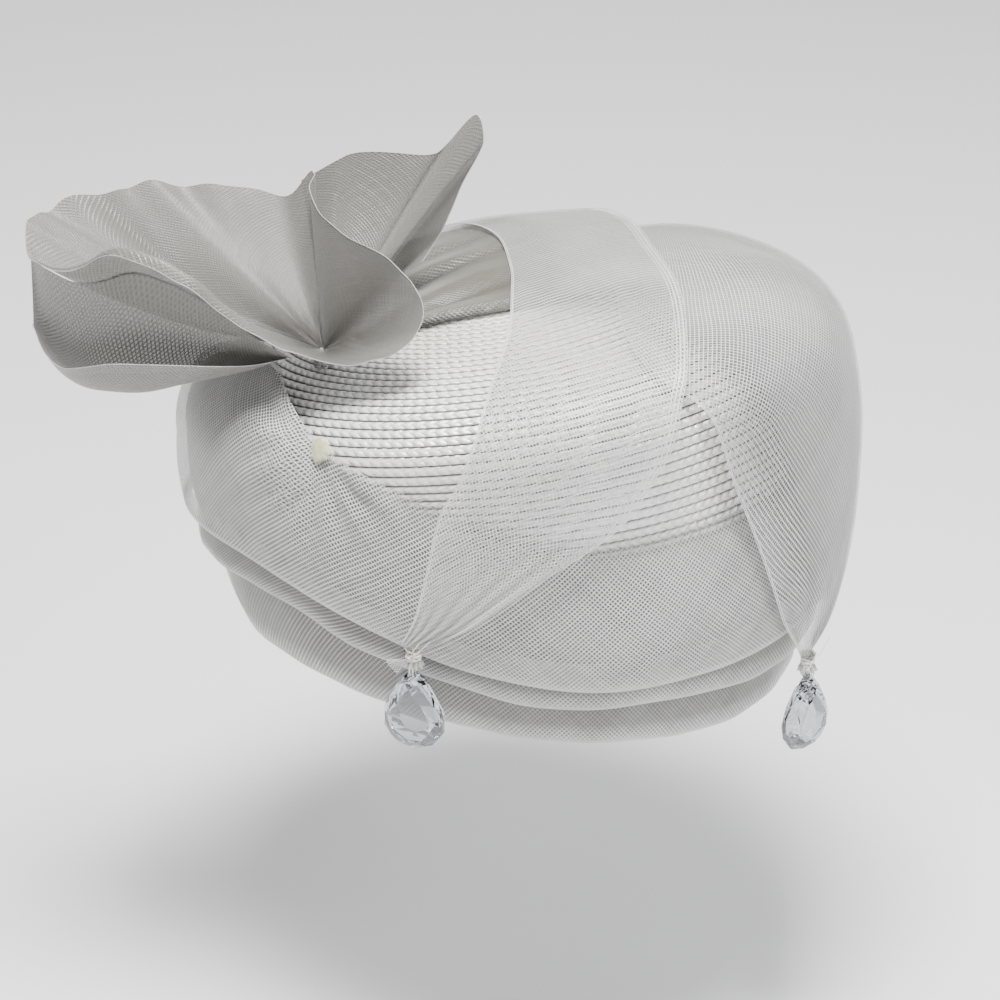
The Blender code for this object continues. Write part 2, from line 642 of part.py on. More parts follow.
def make_tie(name, foot, out, material):
    """A wound thread barrel under a gather, with the loop that carries the drop."""
    frame = Matrix.Translation(foot) @ Matrix((
        (*out, 0), (*Vector((0, 0, 1)).cross(out), 0), (0, 0, 1, 0), (0, 0, 0, 1),
    )).transposed()
    points = []
    for down, share in TIE_SECTIONS:
        radius = share * TIE_WIDTH / 2
        for k in range(TIE_SPOKES):
            turn = 2 * np.pi * k / TIE_SPOKES
            points.append(frame @ Vector((np.cos(turn) * radius, np.sin(turn) * radius, -down * TIE_HEIGHT)))
    faces = ring_faces(len(TIE_SECTIONS), TIE_SPOKES)
    faces.append(tuple(range(TIE_SPOKES)))
    faces.append(tuple((len(TIE_SECTIONS) - 1) * TIE_SPOKES + k for k in range(TIE_SPOKES)))
    barrel = make(name, points, faces, material)
    bpy.ops.mesh.primitive_torus_add(
        major_radius=LOOP_RADIUS, minor_radius=THREAD_RADIUS,
        major_segments=LOOP_STEPS, minor_segments=THREAD_SIDES,
    )
    loop = bpy.context.object
    loop.matrix_world = frame @ Matrix.Translation((0, 0, -loop_drop())) @ Matrix.Rotation(np.pi / 2, 4, "X")
    return cut_or_join(barrel, loop, "loop", "UNION")


def loop_drop():
    """How far the loop's middle is under the top of its tie."""
    return TIE_HEIGHT + LOOP_RADIUS * (1 - LOOP_SUNK)


def hinge_drop():
    """How far the point that the drop swings on is under the top of its tie."""
    return loop_drop() + LOOP_RADIUS


def pear(share, count, turn=0.0):
    """Outline of the pear at a share of its size, about its round end's middle."""
    angles = 2 * np.pi * (np.arange(count) + turn) / count
    round_radius = DROP_WIDTH / 2
    middle = -(DROP_LENGTH - round_radius)
    tip = 1 - abs((angles + np.pi) % (2 * np.pi) - np.pi) / (np.pi / 2)
    reach = np.where(tip > 0, tip, 0)
    across = np.sin(angles) * round_radius * (1 - PEAR_TAPER * reach**2)
    up = np.cos(angles) * round_radius
    up = np.where(tip > 0, up + (DROP_LENGTH - 2 * round_radius) * reach**PEAR_POINT, up)
    return [(share * a, middle + share * u) for a, u in zip(across, up)]


def make_drop(name, foot, out, material):
    """A pear cut: a flat table and two rows of facets in front, three rows behind, and a drilled tip."""
    across = Vector((0, 0, 1)).cross(out)
    pivot = foot - Vector((0, 0, hinge_drop()))
    work = bmesh.new()
    for depth, size, count, turn in DROP_LAYERS:
        for a, u in pear(size, count, turn):
            work.verts.new(out * (depth * DROP_DEPTH) + across * a + Vector((0, 0, HOLE_BELOW_TIP + u)))
    bmesh.ops.convex_hull(work, input=work.verts)
    bmesh.ops.delete(work, geom=[v for v in work.verts if not v.link_faces], context="VERTS")
    bmesh.ops.recalc_face_normals(work, faces=work.faces)
    mesh = bpy.data.meshes.new(name)
    work.to_mesh(mesh)
    work.free()
    mesh.materials.append(material)
    made = bpy.data.objects.new(name, mesh)
    bpy.context.collection.objects.link(made)
    made.location = pivot
    bpy.ops.mesh.primitive_cylinder_add(vertices=HOLE_SIDES, radius=HOLE_RADIUS, depth=2 * DROP_WIDTH)
    drill = bpy.context.object
    drill.matrix_world = Matrix.Translation(pivot) @ out.to_track_quat("Z", "Y").to_matrix().to_4x4()
    return cut_or_join(made, drill, "hole", "DIFFERENCE")


def main():
    clear_scene()
    straw = finish("satin straw", (0.86, 0.85, 0.81), 0.32)
    net = finish("white net", (0.78, 0.78, 0.77), 0.55)
    thread = finish("cream thread", (0.83, 0.80, 0.70), 0.6)
    glue = finish("dried glue", (0.72, 0.72, 0.55), 0.4)
    crystal = finish("clear crystal", (0.95, 0.97, 0.98), 0.02, transmission=1.0)
    make_crown(straw)
    make_side_band(net)
    make_fold("rim_fold_middle", MIDDLE_FOLD_ROWS, FOLD_STAND_OFF, net)
    make_fold("rim_fold_lower", LOWER_FOLD_ROWS, RIM_STAND_OFF, net)
    make_swath("side_swath", SIDE_SWATH_ROWS, net)
    make_swath("front_swath", FRONT_SWATH_ROWS, net)
    make_pleat_fan(net)
    make_bow_funnel(net)
    make_bow_rear_petal(net)
    make_bow_lower_petal(net)
    make_dome("bow_knot", (KNOT_REACH, KNOT_BEARING), KNOT_WIDTH, KNOT_HEIGHT, net, LAYER_GAP)
    make_dome("glue_tack", (GLUE_REACH, GLUE_BEARING), GLUE_WIDTH, GLUE_HEIGHT, glue, glue_lift())
    for side, table, facing in (
        ("side", SIDE_SWATH_ROWS, SIDE_DROP_FACING), ("front", FRONT_SWATH_ROWS, FRONT_DROP_FACING),
    ):
        make_tie("tie_" + side, gather_foot(table), level_way(facing), thread)
        make_drop("drop_" + side, gather_foot(table), level_way(facing), crystal)


main()
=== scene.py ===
"""Looks of a net-trimmed straw hat: braided straw, layered net, a net bow, wound ties and cut drops.

Units are metres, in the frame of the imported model: +Z is up as the hat is worn, -Y is the wearer's
front, -X the wearer's right, and the origin is the middle of the head opening.

Most pieces lie over the crown, so they are laid out on a flat map of it. A map place is
(reach, bearing): reach is 0 at the crown's tip, 1 on its widest ring and 2 at the rim, and bearing is
in degrees from the wearer's left (+X) towards the back (+Y). Lift is the distance off the crown.
"""

import logging
import math
from dataclasses import dataclass, field
from enum import Enum
from typing import Optional, Sequence

import bpy
import numpy as np
from mathutils import Matrix, Vector


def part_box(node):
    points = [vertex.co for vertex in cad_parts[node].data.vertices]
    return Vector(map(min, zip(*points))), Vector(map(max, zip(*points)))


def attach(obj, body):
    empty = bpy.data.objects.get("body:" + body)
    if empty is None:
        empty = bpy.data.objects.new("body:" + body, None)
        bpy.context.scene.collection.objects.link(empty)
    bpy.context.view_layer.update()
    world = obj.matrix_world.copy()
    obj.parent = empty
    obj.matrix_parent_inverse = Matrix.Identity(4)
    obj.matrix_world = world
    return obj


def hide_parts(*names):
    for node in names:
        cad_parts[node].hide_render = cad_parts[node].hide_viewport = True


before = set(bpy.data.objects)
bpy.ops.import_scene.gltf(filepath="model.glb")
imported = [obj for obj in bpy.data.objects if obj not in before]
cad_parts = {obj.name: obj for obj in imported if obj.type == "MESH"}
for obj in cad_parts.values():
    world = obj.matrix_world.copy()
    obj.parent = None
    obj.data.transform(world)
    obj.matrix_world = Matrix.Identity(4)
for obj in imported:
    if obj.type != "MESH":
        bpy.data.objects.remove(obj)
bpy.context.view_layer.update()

log = logging.getLogger("hat")
Grid = np.ndarray
MILLIMETRE = 0.001


class Body(Enum):
    """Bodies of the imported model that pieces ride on."""

    HAT = "hat"
    SIDE_DROP = "side_pendant"
    FRONT_DROP = "front_pendant"


class Slot(Enum):
    """Material slots of the record."""

    STRAW = "straw"
    NET = "net"
    THREAD = "thread"
    GLUE = "glue"
    CRYSTAL = "crystal"


def smooth(places: Grid, values: Grid, at: Grid, period: Optional[float] = None) -> Grid:
    """Reads a smooth curve through values.

    Args:
        places: where the values are given, rising.
        values: one row for each place.
        at: where the curve is read.
        period: length after which the curve repeats, if it runs round.

    Returns:
        One row of values for each place in at.
    """
    places, values = np.asarray(places, float), np.asarray(values, float)
    if period:
        places = np.concatenate([places[-2:] - period, places, places[:2] + period])
        values = np.concatenate([values[-2:], values, values[:2]])
    slopes = np.gradient(values, places, axis=0)
    index = np.clip(np.searchsorted(places, at, side="right") - 1, 0, len(places) - 2)
    span = (places[index + 1] - places[index])[:, None]
    share = (at - places[index])[:, None] / span
    return (
        values[index] * (1 + 2 * share) * (1 - share) ** 2
        + slopes[index] * span * share * (1 - share) ** 2
        + values[index + 1] * share**2 * (3 - 2 * share)
        - slopes[index + 1] * span * share**2 * (1 - share)
    )


def flat(reach: Grid, bearing: Grid) -> tuple[Grid, Grid]:
    """Map place (p, q) of a reach and a bearing in degrees."""
    turn = np.radians(bearing)
    return np.asarray(reach) * np.cos(turn), np.asarray(reach) * np.sin(turn)


@dataclass(frozen=True)
class CrownMap:
    """The straw crown's surface and the flat map of it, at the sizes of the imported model."""

    opening_length: float = 0.2000
    opening_width: float = 0.1764
    opening_tilt: float = -7.0
    length: float = 0.2210
    width: float = 0.1930
    tilt: float = 11.0
    ring_height: float = 0.0845
    ring_back: float = 0.0060
    rise: float = 0.0340
    squareness: float = 2.5
    step: float = 0.002
    profile_steps: int = 400

    def profile(self) -> tuple[Grid, Grid, Grid]:
        """Share of the way from tip to widest ring, with the radius share and height share there."""
        turn = np.linspace(0, np.pi / 2, self.profile_steps)
        radius = np.sin(turn)
        height = (1 - radius**self.squareness).clip(0) ** (1 / self.squareness)
        mean_radius = (self.length + self.width) / 4
        steps = np.hypot(np.diff(radius) * mean_radius, np.diff(height) * self.rise)
        along = np.concatenate([[0], np.cumsum(steps)])
        return along / along[-1], radius, height

    def on(self, p: Grid, q: Grid) -> Grid:
        """Points of the crown's surface at map places."""
        share, radius_share, height_share = self.profile()
        reach, turn = np.hypot(p, q), np.arctan2(q, p)
        above = reach <= 1
        radius = np.where(above, np.interp(reach.clip(0, 1), share, radius_share), 1)
        rise = np.interp(reach.clip(0, 1), share, height_share) * self.rise * above
        fall = (reach - 1).clip(0)
        tilt = np.radians(self.tilt + (self.opening_tilt - self.tilt) * fall)
        half_length = (self.length + (self.opening_length - self.length) * fall**2) / 2
        half_width = (self.width + (self.opening_width - self.width) * fall**2) / 2
        along = half_length * radius * np.sin(turn)
        y = self.ring_back * (1 - fall) + along * np.cos(tilt) + rise * np.sin(tilt)
        z = self.ring_height * (1 - fall) - along * np.sin(tilt) + rise * np.cos(tilt)
        return np.stack([half_width * radius * np.cos(turn), y, z], axis=-1)

    def off(self, p: Grid, q: Grid, lift: Grid) -> Grid:
        """Points at a lift off the crown, square to it."""
        by_p = self.on(p + self.step, q) - self.on(p - self.step, q)
        by_q = self.on(p, q + self.step) - self.on(p, q - self.step)
        normal = np.cross(by_p, by_q)
        normal /= np.linalg.norm(normal, axis=-1, keepdims=True)
        return self.on(p, q) + normal * np.asarray(lift)[..., None]


CROWN = CrownMap()
NET_WALL = 0.0012
LAYER_GAP = 0.0004
SWATH_STAND_OFF = 0.0190


def deselect() -> None:
    """Leaves nothing selected."""
    bpy.ops.object.select_all(action="DESELECT")


def only(made: bpy.types.Object) -> bpy.types.Object:
    """Makes one object the selected and active one."""
    deselect()
    made.select_set(True)
    bpy.context.view_layer.objects.active = made
    return made


def weld(made: bpy.types.Object, within: float = 2e-6) -> None:
    """Merges points that lie on each other and turns the faces one way."""
    only(made)
    bpy.ops.object.mode_set(mode="EDIT")
    bpy.ops.mesh.select_all(action="SELECT")
    bpy.ops.mesh.remove_doubles(threshold=within)
    bpy.ops.mesh.normals_make_consistent(inside=False)
    bpy.ops.object.mode_set(mode="OBJECT")


def mark(made: bpy.types.Object, name: str, values: Grid) -> None:
    """Keeps one number for each point of a mesh under a name that a material reads."""
    layer = made.data.attributes.new(name, "FLOAT", "POINT")
    layer.data.foreach_set("value", np.asarray(values, np.float32).ravel())


def lay_grid(name: str, places: Grid, uv: Grid, welded: bool = True, **marks: Grid) -> bpy.types.Object:
    """Lays a grid primitive on places.

    Args:
        name: the piece's name.
        places: rows by columns by 3, in metres.
        uv: rows by columns by 2.
        welded: whether points that meet are merged afterwards.
        marks: rows by columns of numbers to keep on the points.

    Returns:
        The piece, smooth shaded.
    """
    rows, columns = places.shape[:2]
    deselect()
    bpy.ops.mesh.primitive_grid_add(x_subdivisions=columns - 1, y_subdivisions=rows - 1, size=1.0, calc_uvs=True)
    made = bpy.context.object
    made.name = made.data.name = name
    mesh = made.data
    mesh.vertices.foreach_set("co", np.asarray(places, np.float32).ravel())
    corners = np.zeros(len(mesh.loops), np.int32)
    mesh.loops.foreach_get("vertex_index", corners)
    mesh.uv_layers[0].data.foreach_set("uv", np.asarray(uv, np.float32).reshape(-1, 2)[corners].ravel())
    for mark_name, values in marks.items():
        mark(made, mark_name, values)
    mesh.update()
    if welded:
        weld(made)
    mesh.shade_smooth()
    return made


def tube(name: str, path: Grid, radius: float, sides: int = 2, closed: bool = False) -> bpy.types.Object:
    """A round thread along a path, as a mesh.

    Args:
        name: the piece's name.
        path: points by 3, in metres.
        radius: of the thread.
        sides: bevel resolution of the curve.
        closed: whether the path runs round.

    Returns:
        The thread.
    """
    curve = bpy.data.curves.new(name, "CURVE")
    curve.dimensions = "3D"
    curve.bevel_depth = radius
    curve.bevel_resolution = sides
    curve.use_fill_caps = not closed
    spline = curve.splines.new("POLY")
    spline.points.add(len(path) - 1)
    spline.points.foreach_set("co", np.column_stack([path, np.ones(len(path))]).astype(np.float32).ravel())
    spline.use_cyclic_u = closed
    made = bpy.data.objects.new(name, curve)
    bpy.context.collection.objects.link(made)
    only(made)
    bpy.ops.object.convert(target="MESH")
    bpy.context.object.data.shade_smooth()
    return bpy.context.object


def join(name: str, parts: Sequence[bpy.types.Object]) -> bpy.types.Object:
    """Joins objects into one and names it."""
    deselect()
    for part in parts:
        part.select_set(True)
    bpy.context.view_layer.objects.active = parts[0]
    if len(parts) > 1:
        bpy.ops.object.join()
    made = bpy.context.object
    made.name = made.data.name = name
    return made


def settle(
    made: bpy.types.Object,
    material: bpy.types.Material,
    body: Body = Body.HAT,
    stands_for: Sequence[str] = (),
) -> bpy.types.Object:
    """Dresses a finished piece and puts it on its body.

    Args:
        made: the piece, with its place in its mesh.
        material: its finish.
        body: what it moves with.
        stands_for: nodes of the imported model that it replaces.

    Returns:
        The piece.
    """
    made.data.materials.clear()
    made.data.materials.append(material)
    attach(made, body.value)
    if stands_for:
        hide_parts(*stands_for)
    log.info("%s: %d faces", made.name, len(made.data.polygons))
    return made


class Graph:
    """A material's nodes, built one after the other."""

    def __init__(self, name: str) -> None:
        """Starts a material with a Principled shader."""
        self.material = bpy.data.materials.new(name)
        self.material.use_nodes = True
        self.nodes = self.material.node_tree.nodes
        self.links = self.material.node_tree.links
        self.shader = self.nodes["Principled BSDF"]

    def add(self, kind: str, **settings: object) -> bpy.types.Node:
        """Adds a node and sets its properties."""
        node = self.nodes.new(kind)
        for name, value in settings.items():
            setattr(node, name, value)
        return node

    def feed(self, socket: bpy.types.NodeSocket, value: object) -> None:
        """Links a socket to another, or sets its value."""
        if isinstance(value, bpy.types.NodeSocket):
            self.links.new(value, socket)
        else:
            socket.default_value = value

    def math(self, operation: str, *values: object) -> bpy.types.NodeSocket:
        """A Math node's result."""
        node = self.add("ShaderNodeMath", operation=operation)
        for socket, value in zip(node.inputs, values):
            self.feed(socket, value)
        return node.outputs[0]

    def ramp(self, value: object, low: float, high: float, start: float = 0.0, end: float = 1.0) -> bpy.types.NodeSocket:
        """A smooth step from start to end as the value goes from low to high."""
        node = self.add("ShaderNodeMapRange", interpolation_type="SMOOTHSTEP")
        for socket, given in zip(node.inputs, (value, low, high, start, end)):
            self.feed(socket, given)
        return node.outputs[0]

    def mix(self, share: object, first: object, second: object) -> bpy.types.NodeSocket:
        """A mix of two colours."""
        node = self.add("ShaderNodeMix", data_type="RGBA")
        self.feed(node.inputs["Factor"], share)
        for socket, value in ((node.inputs[6], first), (node.inputs[7], second)):
            self.feed(socket, (*value, 1.0) if isinstance(value, tuple) else value)
        return node.outputs[2]

    def uv(self) -> tuple[bpy.types.NodeSocket, bpy.types.NodeSocket]:
        """Both coordinates of the piece's own UV map."""
        parts = self.add("ShaderNodeSeparateXYZ")
        self.links.new(self.add("ShaderNodeTexCoord").outputs["UV"], parts.inputs[0])
        return parts.outputs[0], parts.outputs[1]

    def noise(self, scale: float, detail: float = 2.0, where: Optional[bpy.types.NodeSocket] = None) -> bpy.types.Node:
        """A noise texture on Object coordinates, or on a given vector."""
        node = self.add("ShaderNodeTexNoise")
        self.feed(node.inputs["Scale"], scale)
        self.feed(node.inputs["Detail"], detail)
        self.feed(node.inputs["Vector"], where or self.add("ShaderNodeTexCoord").outputs["Object"])
        return node

    def mark(self, name: str) -> bpy.types.NodeSocket:
        """A number kept on the piece's points."""
        return self.add("ShaderNodeAttribute", attribute_name=name).outputs["Fac"]

    def vector(self, x: object, y: object, z: object = 0.0) -> bpy.types.NodeSocket:
        """A vector from three numbers."""
        node = self.add("ShaderNodeCombineXYZ")
        for socket, value in zip(node.inputs, (x, y, z)):
            self.feed(socket, value)
        return node.outputs[0]

    def bump(self, height: bpy.types.NodeSocket, distance: float, strength: float = 1.0) -> None:
        """Raises the surface by a height, in metres at the given distance."""
        node = self.add("ShaderNodeBump")
        self.feed(node.inputs["Strength"], strength)
        self.feed(node.inputs["Distance"], distance)
        self.feed(node.inputs["Height"], height)
        self.feed(self.shader.inputs["Normal"], node.outputs[0])

    def set(self, **values: object) -> None:
        """Sets or links the shader's own sockets, named with underscores for spaces."""
        for name, value in values.items():
            socket = self.shader.inputs[name.replace("_", " ")]
            self.feed(socket, (*value, 1.0) if isinstance(value, tuple) else value)


@dataclass(frozen=True)
class NetFinish:
    """Diagonal net of glossy nylon thread, see-through between its threads.

    UVs count threads: a thread of either family runs wherever u + v or u - v is whole. The piece
    marks each point with edge, its distance from the woven edge, dense, where the
    net lies doubled or rolled and where a highlight is painted on a crest, deep, painted
    shade where the net lies in the fold of a gather, in a throat or under a lip, and thin, where it
    gives way.
    """

    name: str
    colour: tuple[float, float, float] = (0.63, 0.63, 0.62)
    shade: tuple[float, float, float] = (0.25, 0.25, 0.245)
    deep_shade: tuple[float, float, float] = (0.085, 0.078, 0.065)
    thread_share: float = 0.31
    softness: float = 0.09
    haze: float = 0.12
    wander: float = 0.10
    roughness: float = 0.34
    sheen: float = 0.2
    selvage: float = 0.0042
    selvage_pitch: float = 0.0013

    def threads(self, graph: Graph) -> tuple[bpy.types.NodeSocket, bpy.types.NodeSocket]:
        """Where threads run, from 0 to 1, and how bright each is."""
        u, v = graph.uv()
        drift = graph.add("ShaderNodeSeparateColor")
        graph.feed(drift.inputs[0], graph.noise(45.0, 1.0).outputs["Color"])
        swing = self.wander * 6
        u = graph.math("MULTIPLY_ADD", graph.math("SUBTRACT", drift.outputs[0], 0.5), swing, u)
        v = graph.math("MULTIPLY_ADD", graph.math("SUBTRACT", drift.outputs[1], 0.5), swing, v)
        low, high = (self.thread_share - self.softness) / 2, (self.thread_share + self.softness) / 2
        lines, glints = [], []
        for operation in ("ADD", "SUBTRACT"):
            count = graph.math(operation, u, v)
            lines.append(graph.ramp(graph.math("PINGPONG", count, 0.5), low, high, 1.0, 0.0))
            one = graph.add("ShaderNodeTexWhiteNoise", noise_dimensions="1D")
            graph.feed(one.inputs["W"], graph.math("ROUND", count))
            glints.append(one.outputs["Value"])
        return graph.math("MAXIMUM", *lines), graph.math("MULTIPLY", graph.math("ADD", *glints), 0.5)

    def build(self) -> bpy.types.Material:
        """The material."""
        graph = Graph(self.name)
        thread, glint = self.threads(graph)
        edge = graph.mark("edge")
        lines = graph.ramp(graph.math("PINGPONG", graph.math("DIVIDE", edge, self.selvage_pitch), 0.5), 0.13, 0.28, 1.0, 0.0)
        lines = graph.math("MULTIPLY", lines, graph.ramp(edge, self.selvage * 0.92, self.selvage, 1.0, 0.0))
        # dense makes the net whiter and more opaque: doubled net, and a painted highlight on pleat crests.
        dense = graph.mark("dense")
        cover = graph.math("MAXIMUM", graph.math("MAXIMUM", thread, lines), graph.math("MULTIPLY", dense, 0.92))
        cloud = graph.ramp(graph.noise(22.0, 3.0).outputs[0], 0.35, 0.65, -0.10, 0.10)
        tone = graph.math("MULTIPLY", graph.math("MULTIPLY_ADD", glint, 0.45, 0.55), thread)
        tone = graph.math("MAXIMUM", tone, graph.math("MAXIMUM", lines, graph.math("MULTIPLY", dense, 0.62)))
        colour = graph.mix(graph.math("ADD", tone, cloud), self.shade, self.colour)
        # deep mixes towards deep_shade: painted shade in folds, throats and under lips.
        graph.set(
            Base_Color=graph.mix(graph.mark("deep"), colour, self.deep_shade),
            Roughness=self.roughness, Sheen_Weight=self.sheen, Sheen_Roughness=0.4,
            Alpha=graph.math(
                "MULTIPLY", graph.math("MULTIPLY_ADD", cover, 1.0 - self.haze, self.haze),
                graph.math("SUBTRACT", 1.0, graph.mark("thin")),
            ),
        )
        graph.bump(graph.math("MULTIPLY", thread, graph.math("ADD", glint, 0.5)), 0.00022, 0.6)
        return graph.material


@dataclass(frozen=True)
class StrawFinish:
    """Glossy plaited straw. UVs count plait stitches along a row and rows down the crown."""

    colour: tuple[float, float, float] = (0.90, 0.90, 0.90)
    cream: tuple[float, float, float] = (0.83, 0.81, 0.735)
    # Colour of the painted shade in grooves and hollows.
    groove: tuple[float, float, float] = (0.085, 0.08, 0.07)
    slant: float = -0.45

    def build(self) -> bpy.types.Material:
        """The material."""
        graph = Graph("satin straw braid")
        u, v = graph.uv()
        down = graph.math("FRACT", v)
        chevron = graph.math("PINGPONG", down, 0.5)
        slanted = graph.math("SUBTRACT", u, graph.math("MULTIPLY", chevron, 2 * self.slant))
        stitch = graph.math("PINGPONG", slanted, 0.5)
        crossing = graph.math("PINGPONG", graph.math("MULTIPLY_ADD", chevron, self.slant * 2.6, u), 0.5)
        fibre = graph.noise(
            1.0, 2.0, graph.vector(graph.math("MULTIPLY", slanted, 7.0), graph.math("MULTIPLY", v, 2.2)),
        ).outputs[0]
        # Painted shade: groove darkens the grooves between rows, hollow the hollows between stitches and the lines
        # where strands cross.
        groove = graph.mark("groove")
        ends = graph.ramp(chevron, 0.10, 0.45, 1.0, 0.35)
        hollow = graph.math("MULTIPLY", graph.ramp(stitch, 0.0, 0.30, 0.12, 0.0), ends)
        one = graph.add("ShaderNodeTexWhiteNoise", noise_dimensions="2D")
        graph.feed(one.inputs["Vector"], graph.vector(graph.math("ROUND", slanted), graph.math("FLOOR", v)))
        # Random tone for each stitch, added to the painted shade.
        hollow = graph.math("MULTIPLY_ADD", one.outputs["Value"], 0.13, hollow)
        dark = graph.math("MAXIMUM", groove, graph.math("MAXIMUM", hollow, graph.ramp(crossing, 0.0, 0.20, 0.05, 0.0)))
        # Cream in random patches over the straw.
        cream_patches = graph.ramp(graph.noise(16.0, 2.0).outputs[0], 0.40, 0.62)
        graph.set(
            Base_Color=graph.mix(dark, graph.mix(cream_patches, self.colour, self.cream), self.groove),
            Roughness=graph.ramp(fibre, 0.3, 0.7, 0.18, 0.32),
            IOR=1.9, Coat_Weight=0.8, Coat_Roughness=0.14, Specular_IOR_Level=0.8,
        )
        plump = graph.math("SINE", graph.math("MULTIPLY", stitch, math.pi))
        height = graph.math("MULTIPLY_ADD", fibre, 0.55, graph.math("MULTIPLY_ADD", crossing, 0.30, plump))
        graph.bump(height, 0.00038, 1.0)
        return graph.material


@dataclass(frozen=True)
class ThreadFinish:
    """Cream sewing thread, wound."""

    colour: tuple[float, float, float] = (0.86, 0.84, 0.76)

    def build(self) -> bpy.types.Material:
        """The material."""
        graph = Graph("cream wound thread")
        twist = graph.noise(900.0, 2.0).outputs[0]
        graph.set(
            Base_Color=graph.mix(graph.ramp(twist, 0.35, 0.65), (0.70, 0.67, 0.57), self.colour),
            Roughness=0.45, Sheen_Weight=0.4, Coat_Weight=0.15,
        )
        graph.bump(twist, 0.0002, 0.8)
        return graph.material


@dataclass(frozen=True)
class GlueFinish:
    """Dried glue, cloudy and slightly yellow."""

    colour: tuple[float, float, float] = (0.50, 0.50, 0.27)

    def build(self) -> bpy.types.Material:
        """The material."""
        graph = Graph("dried glue")
        lumps = graph.noise(350.0, 4.0).outputs[0]
        graph.set(
            Base_Color=graph.mix(graph.ramp(lumps, 0.35, 0.7), self.colour, (0.60, 0.60, 0.42)),
            Roughness=graph.ramp(lumps, 0.3, 0.7, 0.25, 0.5),
            Coat_Weight=0.3, Alpha=graph.math("SUBTRACT", 0.95, graph.mark("thin")),
        )
        graph.bump(lumps, 0.0006, 0.8)
        return graph.material


@dataclass(frozen=True)
class CrystalFinish:
    """Clear cut glass with a trace of blue, darkened grey as painted shade for the dark surroundings seen through it.
    """

    # Grey darkening of the clear glass: painted shade for dark surroundings seen through it.
    colour: tuple[float, float, float] = (0.42, 0.44, 0.48)
    index: float = 1.56

    def build(self) -> bpy.types.Material:
        """The material."""
        graph = Graph("clear cut crystal")
        wear = graph.ramp(graph.noise(260.0, 3.0).outputs[0], 0.45, 0.75, 0.0, 0.05)
        graph.set(Base_Color=self.colour, Roughness=wear, Transmission_Weight=1.0, IOR=self.index, Coat_Weight=0.4)
        graph.shader.inputs["Coat Roughness"].default_value = 0.0
        return graph.material


class Finishes:
    """Every material of the hat, each built once."""

    def __init__(self) -> None:
        """Builds them."""
        self.straw = StrawFinish().build()
        self.net = NetFinish("white net").build()
        # A dark opaque net standing in for the shade inside layered net: painted shade.
        self.backing = NetFinish(
            "white net in layers", colour=(0.30, 0.30, 0.295), shade=(0.155, 0.155, 0.15), thread_share=0.46, haze=1.0,
        ).build()
        self.swath = NetFinish(
            "open white net", colour=(0.66, 0.66, 0.655), shade=(0.30, 0.30, 0.295), thread_share=0.27, haze=0.05,
        ).build()
        # The bow's net is the white net darkened: painted shade.
        self.bow = NetFinish(
            "bow net", colour=(0.195, 0.187, 0.171), shade=(0.118, 0.112, 0.101), deep_shade=(0.036, 0.032, 0.024),
            thread_share=0.36, softness=0.3, haze=0.88, sheen=0.3,
        ).build()
        # The pleated net is the white net darkened: painted shade.
        self.pleat = NetFinish(
            "pleated net", colour=(0.235, 0.222, 0.188), shade=(0.076, 0.070, 0.056), deep_shade=(0.05, 0.046, 0.035),
            thread_share=0.30, softness=0.6, haze=0.97, sheen=0.3,
        ).build()
        self.edge = NetFinish(
            "net edge cord", colour=(0.66, 0.66, 0.65), shade=(0.56, 0.56, 0.55), haze=1.0,
        ).build()
        # The bow's edge cord is darkened with the bow: painted shade.
        self.bow_edge = NetFinish(
            "bow edge cord", colour=(0.46, 0.455, 0.44), shade=(0.40, 0.395, 0.38), haze=1.0,
        ).build()
        self.thread = ThreadFinish().build()
        self.glue = GlueFinish().build()
        self.crystal = CrystalFinish().build()


